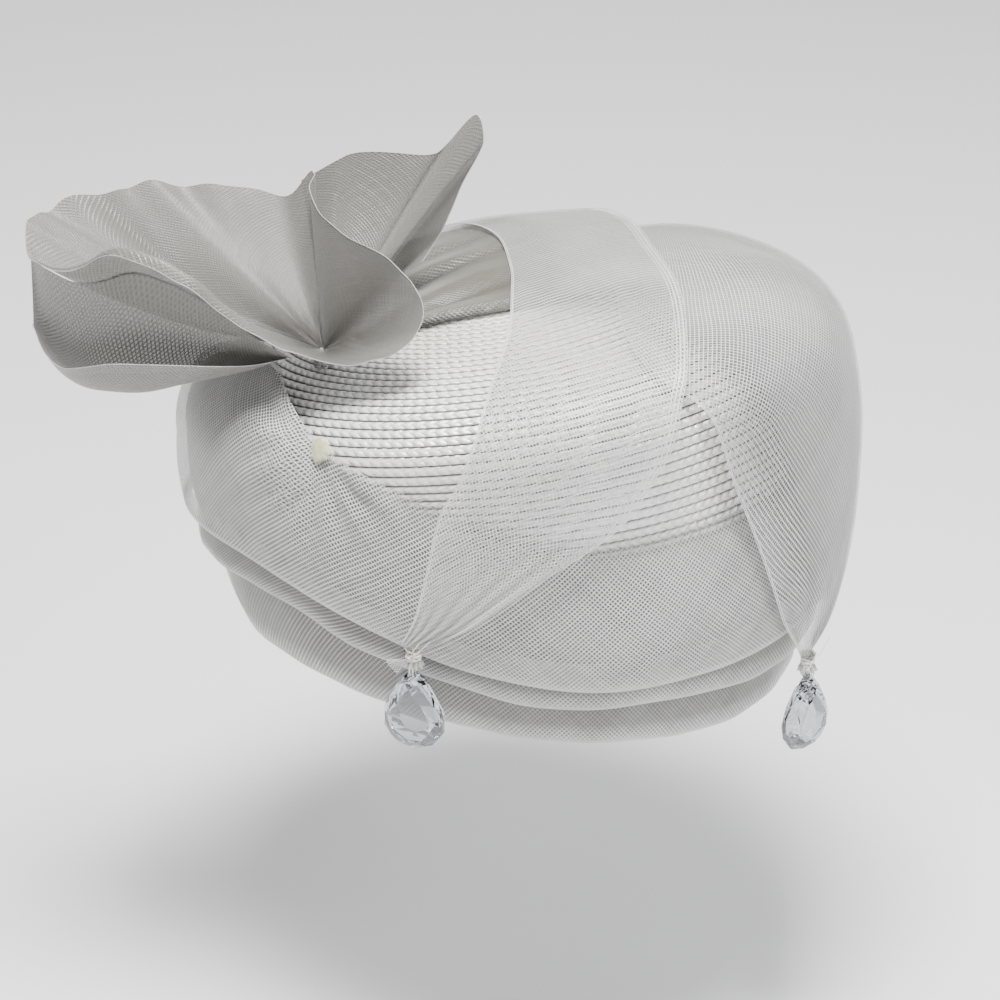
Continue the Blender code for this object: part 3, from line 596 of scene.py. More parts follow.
@dataclass
class StrawCrown:
    """The crown's rows of plaited straw, each lapped over the next, over its inner face."""

    foot: float = 1.975
    top_rows: int = 36
    side_rows: int = 32
    stitch: float = 0.0037
    steps_a_stitch: int = 4
    covered: float = 1.36
    tuck: float = 0.30
    scallop: float = 0.006
    plait: float = 0.00012
    wall: float = 0.0022
    sections: tuple = (
        # share down the row, lift in millimetres, painted groove shade
        (0.00, -1.05, 1.0),
        (0.25, -0.55, 1.0),
        (0.32, -0.22, 0.65),
        (0.42, 0.08, 0.08),
        (0.66, 0.28, 0.0),
        (0.90, 0.14, 0.0),
        (0.97, -0.10, 0.40),
        (0.99, -0.60, 1.0),
    )

    def row(self, number: int, top: float, low: float) -> bpy.types.Object:
        """One row of the braid.

        Args:
            number: the row's place, counted from the tip.
            top: reach of its upper edge where it shows.
            low: reach of its lower edge.

        Returns:
            The row as an object.
        """
        share, lift, groove = np.array(self.sections).T
        drop = low - top
        ring = np.linspace(0, 360, 97)
        loop = CROWN.on(*flat(np.full(97, (top + low) / 2), ring))
        around = np.linalg.norm(np.diff(loop, axis=0), axis=1).sum()
        stitches = max(6, round(around / self.stitch))
        columns = stitches * (self.steps_a_stitch if top < self.covered else 1)
        phase = np.linspace(0, stitches, columns + 1)[None, :] + 0.37 * number
        bearing = np.linspace(0, 360, columns + 1)[None, :]
        share, lift, groove = share[:, None], lift[:, None] * MILLIMETRE, groove[:, None]
        shown = ((1 + self.tuck) * share - self.tuck).clip(0, 1)
        wave = -np.cos(2 * np.pi * (phase - StrawFinish.slant * (1 - abs(2 * shown - 1))))
        reach = top - self.tuck * drop + (1 + self.tuck) * drop * share
        reach = reach + self.scallop * drop * wave * (share > 0.7)
        lift = lift + self.plait * wave * np.sin(np.pi * share) * (top < self.covered)
        reach, bearing, lift = np.broadcast_arrays(reach.clip(0), bearing, lift)
        places = CROWN.off(*flat(reach, bearing), lift)
        places[:, -1] = places[:, 0]
        uv = np.stack(np.broadcast_arrays(phase, number + shown * 0.999), axis=-1)
        # Painted shade in the groove where one row laps over the next.
        groove = np.broadcast_to(groove, lift.shape)
        return lay_grid("row", places, uv, welded=False, groove=groove)

    def inside(self) -> bpy.types.Object:
        """The inner side of the straw, from rim to tip."""
        reach = np.concatenate([np.linspace(self.foot, 1.0, 40, endpoint=False), np.linspace(1.0, 0.0, 48)])
        bearing = np.linspace(0, 360, 193)
        row_of = np.where(reach <= 1, reach * self.top_rows, self.top_rows + (reach - 1) * self.side_rows)
        grids = []
        for lift in (-1.2 * MILLIMETRE, -self.wall):
            at, around = np.broadcast_arrays(reach[:, None], bearing[None, :])
            places = CROWN.off(*flat(at, around), np.full(at.shape, lift))
            places[:, -1] = places[:, 0]
            grids.append(places)
        places = np.concatenate([grids[0][::-1], grids[1]])
        rows = np.concatenate([row_of[::-1], row_of])
        uv = np.stack(np.broadcast_arrays(bearing[None, :] * 0.48, rows[:, None]), axis=-1)
        # Painted shade: dark lines on the smooth inner face where the grooves between rows lie.
        groove = 0.5 - 0.5 * np.cos(2 * np.pi * rows)
        return lay_grid("straw_inside", places, uv, groove=np.broadcast_to(groove[:, None] ** 4, uv.shape[:2]))

    def build(self, finish: bpy.types.Material) -> None:
        """Builds the rows and the inner face."""
        edges = np.concatenate([
            np.linspace(0, 1, self.top_rows, endpoint=False), np.linspace(1, self.foot, self.side_rows + 1),
        ])
        rows = [self.row(k, edges[k], edges[k + 1]) for k in range(len(edges) - 1)]
        for name, part in (("straw_top", rows[: self.top_rows]), ("straw_side", rows[self.top_rows:])):
            made = join(name, part)
            weld(made)
            settle(made, finish, stands_for=["crown"])
        settle(self.inside(), finish, stands_for=["crown"])


@dataclass
class NetSheet:
    """A strip of net laid on places, with the lines of its cut edges."""

    name: str
    finish: bpy.types.Material
    flat: tuple[float, float]
    held: str
    rests_on: Sequence[str]
    stands_for: Sequence[str] = ()
    pitch: float = 0.00118
    area: Optional[float] = None

    def uv(self, across: Grid, along: Grid) -> Grid:
        """UVs that count threads, from metres across and along the strip."""
        return np.stack(np.broadcast_arrays(across, along), axis=-1) / (self.pitch * math.sqrt(2))

    def build(
        self, places: Grid, across: Grid, along: Grid, edge: Grid, dense: Grid = 0.0, deep: Grid = 0.0,
        thin: Grid = 0.0,
    ) -> bpy.types.Object:
        """Lays the strip.

        Args:
            places: rows by columns by 3.
            across: metres across the flat strip at each point.
            along: metres along it.
            edge: metres to its nearest woven edge.
            dense: share that the net is doubled or rolled, and painted highlight on crests.
            deep: share of painted shade, in the folds of a gather, in throats and under lips.
            thin: share by which it gives way to what lies under it.

        Returns:
            The piece.
        """
        shape = places.shape[:2]
        edge, dense, deep, thin = (np.broadcast_to(values, shape) for values in (edge, dense, deep, thin))
        made = lay_grid(self.name, places, self.uv(across, along), edge=edge, dense=dense, deep=deep, thin=thin)
        settle(made, self.finish, stands_for=self.stands_for)
        area = sum(face.area for face in made.data.polygons)
        log.info("%s: area %.4f m2 of %.4f flat", made.name, area, self.area or self.flat[0] * self.flat[1])
        return made


def edge_cord(
    name: str, path: Grid, finish: bpy.types.Material, radius: float = 0.00014, closed: bool = False,
) -> None:
    """The bright cord woven into a net edge."""
    settle(tube(name, path, radius, closed=closed), finish)


@dataclass
class SideBand:
    """The wide net band round the crown, rising over it towards the bow, on an opaque inner layer darkened as painted
    shade.
    """

    stand_off: float = 0.0120
    columns: int = 320
    steps: int = 30
    hem: tuple = (
        # reach past the low edge, lift below it in millimetres
        (0.010, 0.6),
        (0.013, 1.7),
        (0.006, 2.8),
        (-0.030, 3.2),
        (-0.080, 3.4),
    )
    tack: tuple[float, float] = (0.905, 172.0)
    pinch: float = 0.0010
    draw: float = 0.0006
    soft_edge: float = 0.0050
    firm_bearings: tuple[float, float] = (100.0, 186.0)
    draw_reach: float = 0.024
    set_back: float = 0.020
    reach_length: float = 0.090
    ring_radius: float = 0.103
    rows: tuple = (
        # bearing, top reach, top lift, low reach, low lift
        (0, 1.27, 0.05, 1.70, 1.00),
        (40, 1.25, 0.05, 1.70, 0.95),
        (75, 1.10, 0.20, 1.64, 0.88),
        (105, 0.88, 0.45, 1.52, 0.86),
        (125, 0.72, 0.60, 1.42, 0.90),
        (141, 0.68, 0.75, 1.38, 0.92),
        (156, 0.73, 0.78, 1.38, 0.94),
        (164, 0.81, 0.60, 1.42, 0.96),
        (170, 0.88, 0.10, 1.46, 1.00),
        (183, 0.99, 0.05, 1.56, 1.00),
        (194, 1.08, 0.05, 1.64, 1.00),
        (203, 1.15, 0.05, 1.68, 1.00),
        (216, 1.24, 0.05, 1.72, 1.00),
        (240, 1.27, 0.05, 1.71, 1.00),
        (270, 1.26, 0.05, 1.68, 1.00),
        (310, 1.27, 0.05, 1.70, 1.00),
    )

    def from_tack(self, reach: Grid, bearing: Grid) -> tuple[Grid, Grid]:
        """Metres over the crown from the glue tack, and the direction, 0 straight down the band."""
        down = (reach - self.tack[0]) * self.reach_length
        side = np.radians(bearing - self.tack[1]) * reach.clip(0, 1) * self.ring_radius
        return np.hypot(down, side), np.arctan2(side, down)

    def places(self, inwards: float, hem: bool) -> tuple[Grid, Grid, Grid]:
        """Points of a layer.

        Args:
            inwards: share of the stand-off that the layer lies below the outer one.
            hem: whether it turns under at its low edge.

        Returns:
            Rows down the band by columns round it by 3, with the distance and direction from the tack.
        """
        table = np.array(self.rows, float)
        bearing = np.linspace(0, 360, self.columns + 1)
        top, top_lift, low, low_lift = smooth(table[:, 0], table[:, 1:], bearing % 360, period=360.0).T
        if not hem:
            top = top + self.set_back
        down = np.linspace(0, 1, self.steps)[:, None]
        reach = top + (low - top) * down
        lift = self.stand_off * (top_lift + (low_lift - top_lift) * np.sin(down * np.pi / 2)) * (1 - inwards)
        lift = lift.clip(LAYER_GAP) + NET_WALL * (1 - inwards)
        away, fan = self.from_tack(reach, bearing)
        lift = lift + self.pinch * np.sin(14 * fan) * np.exp(-(((away - 0.016) / 0.014) ** 2)) * (1 - inwards)
        lift = lift - (lift - NET_WALL - LAYER_GAP).clip(0) * 0.75 * np.exp(-((away / 0.004) ** 2))
        if hem:
            past, below = np.array(self.hem).T[..., None]
            reach = np.concatenate([reach, reach[-1:] + past])
            lift = np.concatenate([lift, lift[-1:] - below * MILLIMETRE])
            away, fan = self.from_tack(reach, bearing)
        places = CROWN.off(*flat(reach, bearing), lift)
        places[:, -1] = places[:, 0]
        return places, away, fan

    def build(self, finishes: Finishes) -> None:
        """Builds the outer layer and the inner one in painted shade, thinning out towards the top edge."""
        for name, finish, inwards, hem, width in (
            ("side_band_outer", finishes.net, 0.0, True, 0.062), ("side_band_inner", finishes.backing, 0.35, False, 0.050),
        ):
            places, away, fan = self.places(inwards, hem)
            rows, columns = places.shape[:2]
            sheet = NetSheet(name, finish, (width, 0.68), "stretched", ["straw_side"], ["side_band"])
            threads = round(0.68 / (sheet.pitch * math.sqrt(2)))
            along = np.linspace(0, threads, columns)[None, :] * sheet.pitch * math.sqrt(2)
            across = np.linspace(0, 0.074 if hem else 0.064, rows)[:, None] * np.ones((1, columns))
            laid = np.linalg.norm(np.diff(places, axis=0), axis=-1).cumsum(axis=0)
            laid = np.concatenate([np.zeros_like(laid[:1]), laid])
            laid = laid - laid[self.steps - 1]
            drawn = self.draw * np.exp(-away / self.draw_reach)
            dense = np.exp(-(((across - 0.064) / 0.0035) ** 2)) if hem else 0.0
            bearing = np.linspace(0, 360, columns)[None, :]
            low, high = self.firm_bearings
            soft = 1 / (1 + np.exp(-np.maximum(low - bearing, bearing - high) / 4))
            thin = np.exp(-((across / self.soft_edge) ** 2)) * soft * (0.85 if hem else 1.0)
            sheet.build(
                places, laid + drawn * np.cos(fan), along + drawn * np.sin(fan), 0.01, dense, 0.0, thin,
            )


@dataclass
class RimFold:
    """A fold of net at the rim, turned under at its free edge."""

    name: str
    node: str
    stand_off: float
    rows: tuple
    columns: int = 320
    steps: int = 12
    lip: float = 0.0255
    lip_width: float = 0.0042
    flatten: float = 1.35
    shadow: float = 0.45
    hem: tuple = (
        # reach past the low edge, lift below it in millimetres
        (0.009, 0.25),
        (0.016, 0.8),
        (0.017, 1.4),
        (0.009, 2.0),
        (-0.060, 2.2),
    )

    def places(self, extra: float) -> Grid:
        """Points of the fold, lifted by a little more or less than its solid."""
        table = np.array(self.rows, float)
        bearing = np.linspace(0, 360, self.columns + 1)
        top, low, low_lift = smooth(table[:, 0], table[:, 1:], bearing % 360, period=360.0).T
        down = np.linspace(0, 1, self.steps)[:, None]
        reach = top + (low - top) * down
        lift = LAYER_GAP + (low_lift * self.stand_off - LAYER_GAP) * np.sin(down * np.pi / 2) + NET_WALL + extra
        sway = 0.0003 * np.sin(np.radians(bearing) * 9) + 0.0002 * np.sin(np.radians(bearing) * 23 + 1.0)
        lift = lift + sway * down
        past, below = np.array(self.hem).T[..., None]
        reach = np.concatenate([reach, reach[-1:] + past])
        lift = np.concatenate([lift, (lift[-1:] - below * MILLIMETRE).clip(LAYER_GAP)])
        places = CROWN.off(*flat(reach, bearing), lift)
        places[:, -1] = places[:, 0]
        return places

    def build(self, finishes: Finishes) -> None:
        """Builds the fold on an opaque layer under it, darkened as painted shade."""
        for part, finish, extra in (("", finishes.net, 0.0), ("_inner", finishes.backing, -0.9 * MILLIMETRE)):
            places = self.places(extra)
            rows, columns = places.shape[:2]
            sheet = NetSheet(self.name + part, finish, (0.040, 0.66), "folded", ["straw_side"], [self.node])
            threads = round(0.66 / (sheet.pitch * math.sqrt(2)))
            along = np.linspace(0, threads, columns)[None, :] * sheet.pitch * math.sqrt(2)
            across = np.linspace(0, 0.034, rows)[:, None] * np.ones((1, columns))
            lip = np.exp(-(((across - self.lip) / self.lip_width) ** 2))
            # The rolled lip is doubled net; above it the fold is darkened as painted shadow from the fold above.
            sheet.build(places, across * self.flatten, along, 0.01, lip, self.shadow * (across < self.lip - 0.006))


@dataclass
class Swath:
    """A strip of net from its gather up and over the crown."""

    name: str
    node: str
    rows: tuple
    sheet_flat: tuple[float, float]
    rests_on: tuple
    layers: tuple
    length_steps: int = 170
    width_steps: int = 60
    pleats: int = 6
    pleat_depth: float = 0.0011
    gather_reach: float = 1.5
    waves: float = 0.0005
    plain_edge: float = 0.0030
    fade: float = 0.016
    gather_length: float = 0.035
    pitch: float = 0.00128

    def places(self, drop: float, start: float, begin: float) -> tuple[Grid, Grid]:
        """Points of one layer.

        Args:
            drop: how far it lies under the outer face.
            start: share of the width where its first edge is.
            begin: row of the table where it begins.

        Returns:
            Rows along the swath by columns across it by 3, and the painted shade in the gather's fold valleys.
        """
        table = np.array(self.rows).T
        stations = np.arange(table.shape[1], dtype=float)
        at = np.linspace(begin, stations[-1], self.length_steps)
        columns = np.column_stack([*flat(*table[0:2]), *flat(*table[2:4]), *(table[4:7] * SWATH_STAND_OFF)])
        lp, lq, rp, rq, left, middle, right = smooth(stations, columns, at).T[..., None]
        share = np.linspace(start, 1, self.width_steps)
        p, q = lp + (rp - lp) * share, lq + (rq - lq) * share
        bow = 4 * share * (1 - share)
        lift = left + (right - left) * share + (middle - (left + right) / 2) * bow
        gathered = np.exp(-at[:, None] / self.gather_reach) * (1 - np.exp(-at[:, None] / 0.25))
        turn = 2 * np.pi * (self.pleats * share + 0.25 * np.sin(5 * share + at[:, None] * 0.4))
        fold = np.sin(turn) * gathered
        lift = lift + self.pleat_depth * fold
        lift = lift + self.waves * np.sin(at[:, None] * 1.3 + share * 4) * np.sin(np.pi * share)
        # Painted shade in the valleys of the gather's pleats.
        deep = 0.55 * (-fold).clip(0) ** 1.5
        return CROWN.off(p, q, lift.clip(LAYER_GAP) + NET_WALL - drop), deep

    def build(self, finishes: Finishes) -> None:
        """Builds the layers, with a cord in each edge of the outer one."""
        for index, (part, finish, drop, start, begin, share) in enumerate(self.layers):
            places, deep = self.places(drop, start, begin)
            along = np.linalg.norm(np.diff(places, axis=0), axis=-1).cumsum(axis=0)
            along = np.concatenate([np.zeros_like(along[:1]), along])
            width, length = self.sheet_flat[0] * (1 - start), self.sheet_flat[1] * share
            across = np.linspace(0, width, self.width_steps)[None, :]
            laid = np.linalg.norm(np.diff(places, axis=1), axis=-1).cumsum(axis=1)
            laid = np.concatenate([np.zeros_like(laid[:, :1]), laid], axis=1)
            edge = np.minimum(laid + self.plain_edge, laid[:, -1:] - laid) + 0.0002
            drawn = np.exp(-along / self.gather_length)
            across = across * drawn + (laid - laid[:, -1:] / 2 + width / 2) * (1 - drawn)
            gather = 0.5 * np.exp(-along / 0.012) * (begin == 0)
            thin = np.exp(-((along / self.fade) ** 2)) * (begin > 0)
            if start > 0:
                thin = np.maximum(thin, np.exp(-((laid / self.fade) ** 2)))
            sheet = NetSheet(
                self.name + part, getattr(finishes, finish), (width, length), "gathered", self.rests_on, [self.node],
                self.pitch,
            )
            sheet.build(places, across + 0.0007 * index, along + 0.0004 * index, edge, gather, deep, thin)
            if index == 0:
                edge_cord(self.name + "_left_cord", places[:, 0], finishes.edge)
                edge_cord(self.name + "_right_cord", places[:, -1], finishes.edge)


SIDE_SWATH_ROWS = (
    # left reach, left bearing, right reach, right bearing, left lift, middle lift, right lift
    (1.545, 187.6, 1.545, 191.6, 0.88, 0.93, 0.88),
    (1.440, 189.9, 1.458, 199.5, 0.78, 0.86, 0.80),
    (1.270, 192.0, 1.280, 213.5, 0.58, 0.68, 0.58),
    (1.070, 194.5, 1.180, 223.5, 0.37, 0.47, 0.47),
    (0.950, 199.0, 1.040, 231.0, 0.19, 0.30, 0.42),
    (0.840, 202.5, 0.920, 237.0, 0.14, 0.24, 0.44),
    (0.620, 208.0, 0.850, 242.0, 0.15, 0.25, 0.47),
    (0.470, 213.0, 0.720, 252.0, 0.22, 0.31, 0.51),
    (0.290, 221.0, 0.600, 265.0, 0.33, 0.44, 0.52),
    (0.090, 270.0, 0.480, 290.0, 0.38, 0.51, 0.53),
    (0.300, 17.0, 0.500, 325.0, 0.44, 0.53, 0.55),
    (0.610, 33.0, 0.650, 353.0, 0.48, 0.54, 0.55),
    (0.900, 43.0, 0.900, 8.0, 0.42, 0.50, 0.50),
    (1.080, 47.0, 1.080, 16.0, 0.21, 0.30, 0.32),
    (1.210, 49.0, 1.225, 20.0, 0.04, 0.05, 0.05),
)
FRONT_SWATH_ROWS = (
    # left reach, left bearing, right reach, right bearing, left lift, middle lift, right lift
    (1.775, 261.0, 1.775, 265.2, 0.86, 0.90, 0.86),
    (1.650, 256.0, 1.720, 274.0, 0.77, 0.98, 0.82),
    (1.560, 253.5, 1.620, 284.0, 0.74, 1.00, 0.77),
    (1.420, 251.0, 1.480, 296.0, 0.58, 0.98, 0.63),
    (1.280, 248.5, 1.340, 307.0, 0.42, 0.92, 0.51),
    (1.150, 246.0, 1.250, 316.0, 0.32, 0.80, 0.40),
    (0.960, 243.0, 1.180, 324.0, 0.24, 0.66, 0.35),
    (0.850, 238.0, 1.120, 331.0, 0.18, 0.55, 0.32),
    (0.720, 238.0, 1.090, 338.0, 0.16, 0.46, 0.29),
    (0.580, 244.0, 1.080, 345.0, 0.18, 0.39, 0.27),
    (0.460, 258.0, 1.090, 351.0, 0.21, 0.34, 0.25),
    (0.370, 286.0, 1.120, 355.0, 0.24, 0.30, 0.21),
    (0.420, 325.0, 1.170, 358.0, 0.24, 0.26, 0.17),
    (0.640, 350.0, 1.210, 0.0, 0.21, 0.20, 0.11),
    (0.930, 4.0, 1.230, 1.0, 0.14, 0.12, 0.06),
    (1.200, 12.0, 1.240, 2.0, 0.06, 0.06, 0.05),
)
MIDDLE_FOLD_ROWS = (
    # bearing, top reach, low reach, low lift
    (0, 1.50, 1.83, 1.0),
    (60, 1.50, 1.82, 1.0),
    (110, 1.40, 1.74, 1.2),
    (140, 1.28, 1.60, 1.2),
    (165, 1.28, 1.59, 1.1),
    (175, 1.36, 1.68, 1.0),
    (190, 1.44, 1.74, 1.0),
    (205, 1.48, 1.80, 1.0),
    (240, 1.50, 1.81, 1.0),
    (260, 1.50, 1.83, 1.0),
    (310, 1.50, 1.84, 1.0),
)
LOWER_FOLD_ROWS = (
    # bearing, top reach, low reach, low lift
    (0, 1.66, 2.00, 1.0),
    (70, 1.64, 2.00, 1.2),
    (120, 1.50, 2.02, 2.0),
    (145, 1.42, 2.02, 2.1),
    (160, 1.44, 2.00, 1.3),
    (175, 1.52, 1.985, 1.0),
    (200, 1.62, 1.985, 1.0),
    (240, 1.66, 1.99, 1.0),
    (300, 1.66, 2.00, 1.0),
)


@dataclass
class PleatFan:
    """Pleats over the top, from beside the knot to under the side swath."""

    knot: tuple[float, float] = (0.59, 155.0)
    near: tuple[float, float] = (0.30, 224.0)
    far: tuple[float, float] = (0.66, 36.0)
    bow: tuple[float, float] = (0.16, 300.0)
    start: float = 0.20
    end: float = 1.36
    depth: float = 0.0034
    rise: float = 0.0026
    far_rise: float = 0.0050
    highest: float = 0.0077
    bend: float = 0.10
    count: int = 4
    columns: int = 260
    steps: int = 70
    low_shade: float = 0.30
    low_width: float = 0.40

    def build(self, finishes: Finishes) -> None:
        """Builds the pleated sheet, with painted highlights on its crests and painted shade in its valleys and along
        its low side.
        """
        near, far, bow, start = (flat(*place) for place in (self.near, self.far, self.bow, self.knot))
        across = np.linspace(0, 1, self.columns)[None, :]
        along = np.linspace(self.start, self.end, self.steps)[:, None]
        ends = [
            near[i] * (1 - across) ** 2 + 2 * bow[i] * across * (1 - across) + far[i] * across**2 for i in (0, 1)
        ]
        bend = self.bend * np.sin(np.pi * along.clip(0, 1)) * across**0.5
        p = start[0] + (ends[0] - start[0]) * along - bend * (ends[1] - start[1])
        q = start[1] + (ends[1] - start[1]) * along + bend * (ends[0] - start[0])
        turn = 2 * np.pi * (self.count * across + 0.20 * np.sin(9 * across) + 0.10 * np.sin(4 * along + 3 * across))
        fold = 0.5 - 0.5 * np.cos(turn + 0.7 * np.sin(turn))
        height = 0.35 + 0.65 * np.sin(np.pi * along.clip(0, 1) * 0.88)
        lift = LAYER_GAP + NET_WALL + self.depth * fold * height
        inner = (across / 0.25).clip(0, 1)
        rise = self.rise + self.far_rise * across
        lift = lift + rise * along.clip(0, 1) ** 2 * inner**2 * (3 - 2 * inner)
        places = CROWN.off(p, q, np.minimum(lift, self.highest))
        width = across * 0.110 * np.ones_like(along)
        # Painted highlight along the crests.
        crest_highlight = 1.6 * np.exp(-(((1 - fold) / 0.04) ** 2)) * np.sin(np.pi * along.clip(0, 1)) ** 0.5
        sheet = NetSheet(
            "pleat_fan_net", finishes.pleat, (0.110, 0.075), "folded", ["straw_top"], ["pleat_fan"], area=0.0078,
        )
        fade = np.exp(-((across / 0.02) ** 2)) * np.ones_like(along)
        # Painted shade in the valleys and towards the low side.
        deep = 0.4 * (1 - fold) ** 2 + self.low_shade * np.exp(-((across / self.low_width) ** 2))
        sheet.build(places, width, along * 0.062, 0.01, crest_highlight * (across > 0.02), deep, fade)


@dataclass
class Bow:
    """The net bow: an open lobe like a funnel, a lobe behind it and one that hangs under it."""

    length: float = 0.1080
    knot: tuple[float, float] = (0.59, 155.0)
    knot_width: float = 0.0096
    knot_height: float = 0.0046
    clearance: float = 0.0006
    heading: float = -63.0
    throat: float = 0.012
    draw: float = 0.9
    sag: float = 0.05
    pitch: float = 0.00108
    rear_foot: tuple[float, float, float] = (0.0, -0.060, -0.050)
    rear_start: float = 0.10
    rear_hollow: float = 0.07
    under: float = 0.0165
    valley_shade: float = 0.60
    petal_places: tuple[float, float] = (12.6, 21.0)
    petal_down: tuple[float, float] = (0.66, 0.985)
    under_end: float = 0.10
    creases: tuple = (
        # place along the funnel's rim, spread, depth
        (23.9, 0.7, 0.060),
        (28.3, 0.8, 0.008),
        (5.0, 1.0, 0.010),
        (25.6, 0.9, -0.016),
        (22.2, 0.6, -0.012),
        (19.8, 0.9, 0.012),
    )
    flap: tuple = (
        # place along the funnel's rim, width of the turned-over lip
        (12.6, 0.000),
        (13.6, 0.012),
        (14.6, 0.034),
        (15.6, 0.054),
        (16.6, 0.066),
        (17.6, 0.060),
        (18.6, 0.036),
        (19.4, 0.012),
        (19.9, 0.000),
    )
    funnel_rim: tuple = (
        # ahead, out, up
        (-0.03, -0.28, 0.480),
        (-0.04, -0.19, 0.465),
        (0.01, -0.05, 0.425),
        (0.09, 0.07, 0.410),
        (0.17, 0.15, 0.400),
        (0.25, 0.20, 0.360),
        (0.30, 0.26, 0.318),
        (0.325, 0.30, 0.265),
        (0.305, 0.33, 0.200),
        (0.25, 0.34, 0.150),
        (0.17, 0.33, 0.108),
        (0.07, 0.31, 0.090),
        (-0.05, 0.30, 0.115),
        (-0.135, 0.30, 0.155),
        (-0.23, 0.31, 0.215),
        (-0.31, 0.31, 0.285),
        (-0.41, 0.30, 0.355),
        (-0.52, 0.26, 0.400),
        (-0.66, 0.19, 0.390),
        (-0.78, 0.11, 0.310),
        (-0.89, 0.02, 0.310),
        (-0.92, -0.09, 0.370),
        (-0.89, -0.18, 0.390),
        (-0.83, -0.24, 0.395),
        (-0.69, -0.31, 0.415),
        (-0.60, -0.35, 0.412),
        (-0.46, -0.37, 0.420),
        (-0.31, -0.37, 0.400),
        (-0.135, -0.36, 0.390),
    )
    rear_rim: tuple = (
        # ahead, out, up
        (-0.08, -0.41, 0.410),
        (0.030, -0.39, 0.485),
        (0.10, -0.37, 0.515),
        (0.225, -0.35, 0.525),
        (0.335, -0.32, 0.535),
        (0.385, -0.30, 0.566),
        (0.480, -0.27, 0.680),
        (0.505, -0.25, 0.620),
        (0.485, -0.25, 0.550),
        (0.435, -0.26, 0.450),
        (0.400, -0.28, 0.360),
        (0.360, -0.26, 0.275),
        (0.310, -0.22, 0.205),
    )
    lower_rows: tuple = (
        # ahead, lip out, lip up, belly out, belly up
        (-0.10, 0.20, 0.060, 0.16, 0.045),
        (-0.20, 0.25, 0.060, 0.18, 0.020),
        (-0.31, 0.27, 0.065, 0.18, -0.005),
        (-0.42, 0.27, 0.068, 0.16, -0.035),
        (-0.53, 0.25, 0.062, 0.13, -0.070),
        (-0.64, 0.22, 0.050, 0.09, -0.080),
        (-0.74, 0.17, 0.015, 0.05, -0.070),
        (-0.81, 0.11, -0.010, 0.01, -0.035),
        (-0.87, 0.04, 0.010, -0.03, 0.030),
        (-0.91, -0.02, 0.080, -0.05, 0.110),
    )

    def points(self, shares: Grid) -> Grid:
        """World points from shares of the bow's length along its three axes."""
        turn = math.radians(self.heading)
        axes = np.array([
            (math.cos(turn), math.sin(turn), 0.0), (math.sin(turn), -math.cos(turn), 0.0), (0.0, 0.0, 1.0),
        ])
        p, q = flat(np.array([self.knot[0]]), np.array([self.knot[1]]))
        middle = CROWN.off(p, q, np.array([self.knot_height + self.clearance]))[0]
        return middle + self.length * (np.asarray(shares) @ axes)

    def wall(self, at: Grid, down: Grid) -> Grid:
        """Shares of the bow's length on the funnel's wall, at places along its rim and shares down it."""
        rim = np.array(self.funnel_rim)
        shape = np.broadcast(at, down).shape
        at, down = (np.broadcast_to(values, shape).ravel() for values in (at, down))
        edge = smooth(np.arange(len(rim)), rim, at % len(rim), period=len(rim))
        wall = edge * (self.throat + (1 - self.throat) * down**self.draw)[:, None]
        wall[:, 2] -= self.sag * np.sin(np.pi * down) * np.linalg.norm(edge[:, :2], axis=1)
        far = 0.25 + 0.75 / (1 + np.exp(18.5 - at))
        ripple = 0.012 * np.sin(at * 2 * np.pi / 1.9) + 0.006 * np.sin(at * 2 * np.pi / 1.1 + 1)
        wall[:, 2] += ripple * far * down**3
        for place, spread, depth in self.creases:
            wall[:, 2] -= depth * np.exp(-(((at - place) / spread) ** 2)) * np.sin(np.pi * down**0.8) ** 0.7
        return wall.reshape(*shape, 3)

    def sheet(
        self, name: str, node: str, grid: Grid, size: tuple[float, float], area: float, finishes: Finishes, closed: bool,
        deep: Grid = 0.0,
    ) -> None:
        """Builds one lobe with a cord along its rim, from a grid whose last column is the rim."""
        places = self.points(grid)
        if closed:
            places[-1] = places[0]
        rows, columns = places.shape[:2]
        along = np.linspace(0, size[1], rows)[:, None]
        if closed:
            threads = round(size[1] / (self.pitch * math.sqrt(2)))
            along = np.linspace(0, threads, rows)[:, None] * self.pitch * math.sqrt(2)
        across = np.linspace(0, size[0], columns)[None, :]
        sheet = NetSheet(
            name, finishes.bow, size, "gathered", ["bow_knot_net"], [node], self.pitch, area,
        )
        sheet.build(places, across, along, (size[0] - across) * 1.6 + 0.0002, 0.0, deep)
        rim = places[:-1, -1] if closed else places[:, -1]
        edge_cord(name + "_cord", rim, finishes.bow_edge, closed=closed)

    def funnel(self) -> Grid:
        """Shares of the open lobe's wall, round it by down it."""
        around = np.linspace(0, len(self.funnel_rim), 341)[:, None]
        return self.wall(around, np.linspace(0, 1, 46)[None, :])

    def lip_flap(self, finishes: Finishes) -> None:
        """The strip of the near rim that is turned over into the funnel."""
        place, width = np.array(self.flap).T
        at = np.linspace(place[0], place[-1], 120)
        width = smooth(place, width[:, None], at)
        across = np.linspace(0, 1, 12)[None, :]
        rim = self.wall(at, np.ones_like(at))
        inside = self.wall(at, np.full(at.shape, 0.80))
        inwards = inside - rim
        inwards /= np.linalg.norm(inwards, axis=1, keepdims=True)
        step = width[:, None] * across[..., None]
        grid = rim[:, None] + inwards[:, None] * step
        grid[..., 2] += width * (0.75 * np.sin(np.pi * across * 0.62)) + 0.003
        sheet = NetSheet(
            "bow_lip_net", finishes.bow, (0.010, 0.060), "folded", ["bow_funnel_net"], ["bow_funnel"], area=0.00030,
        )
        sheet.build(self.points(grid), across * width * self.length, at[:, None] * 0.0105, 0.01, 0.55)

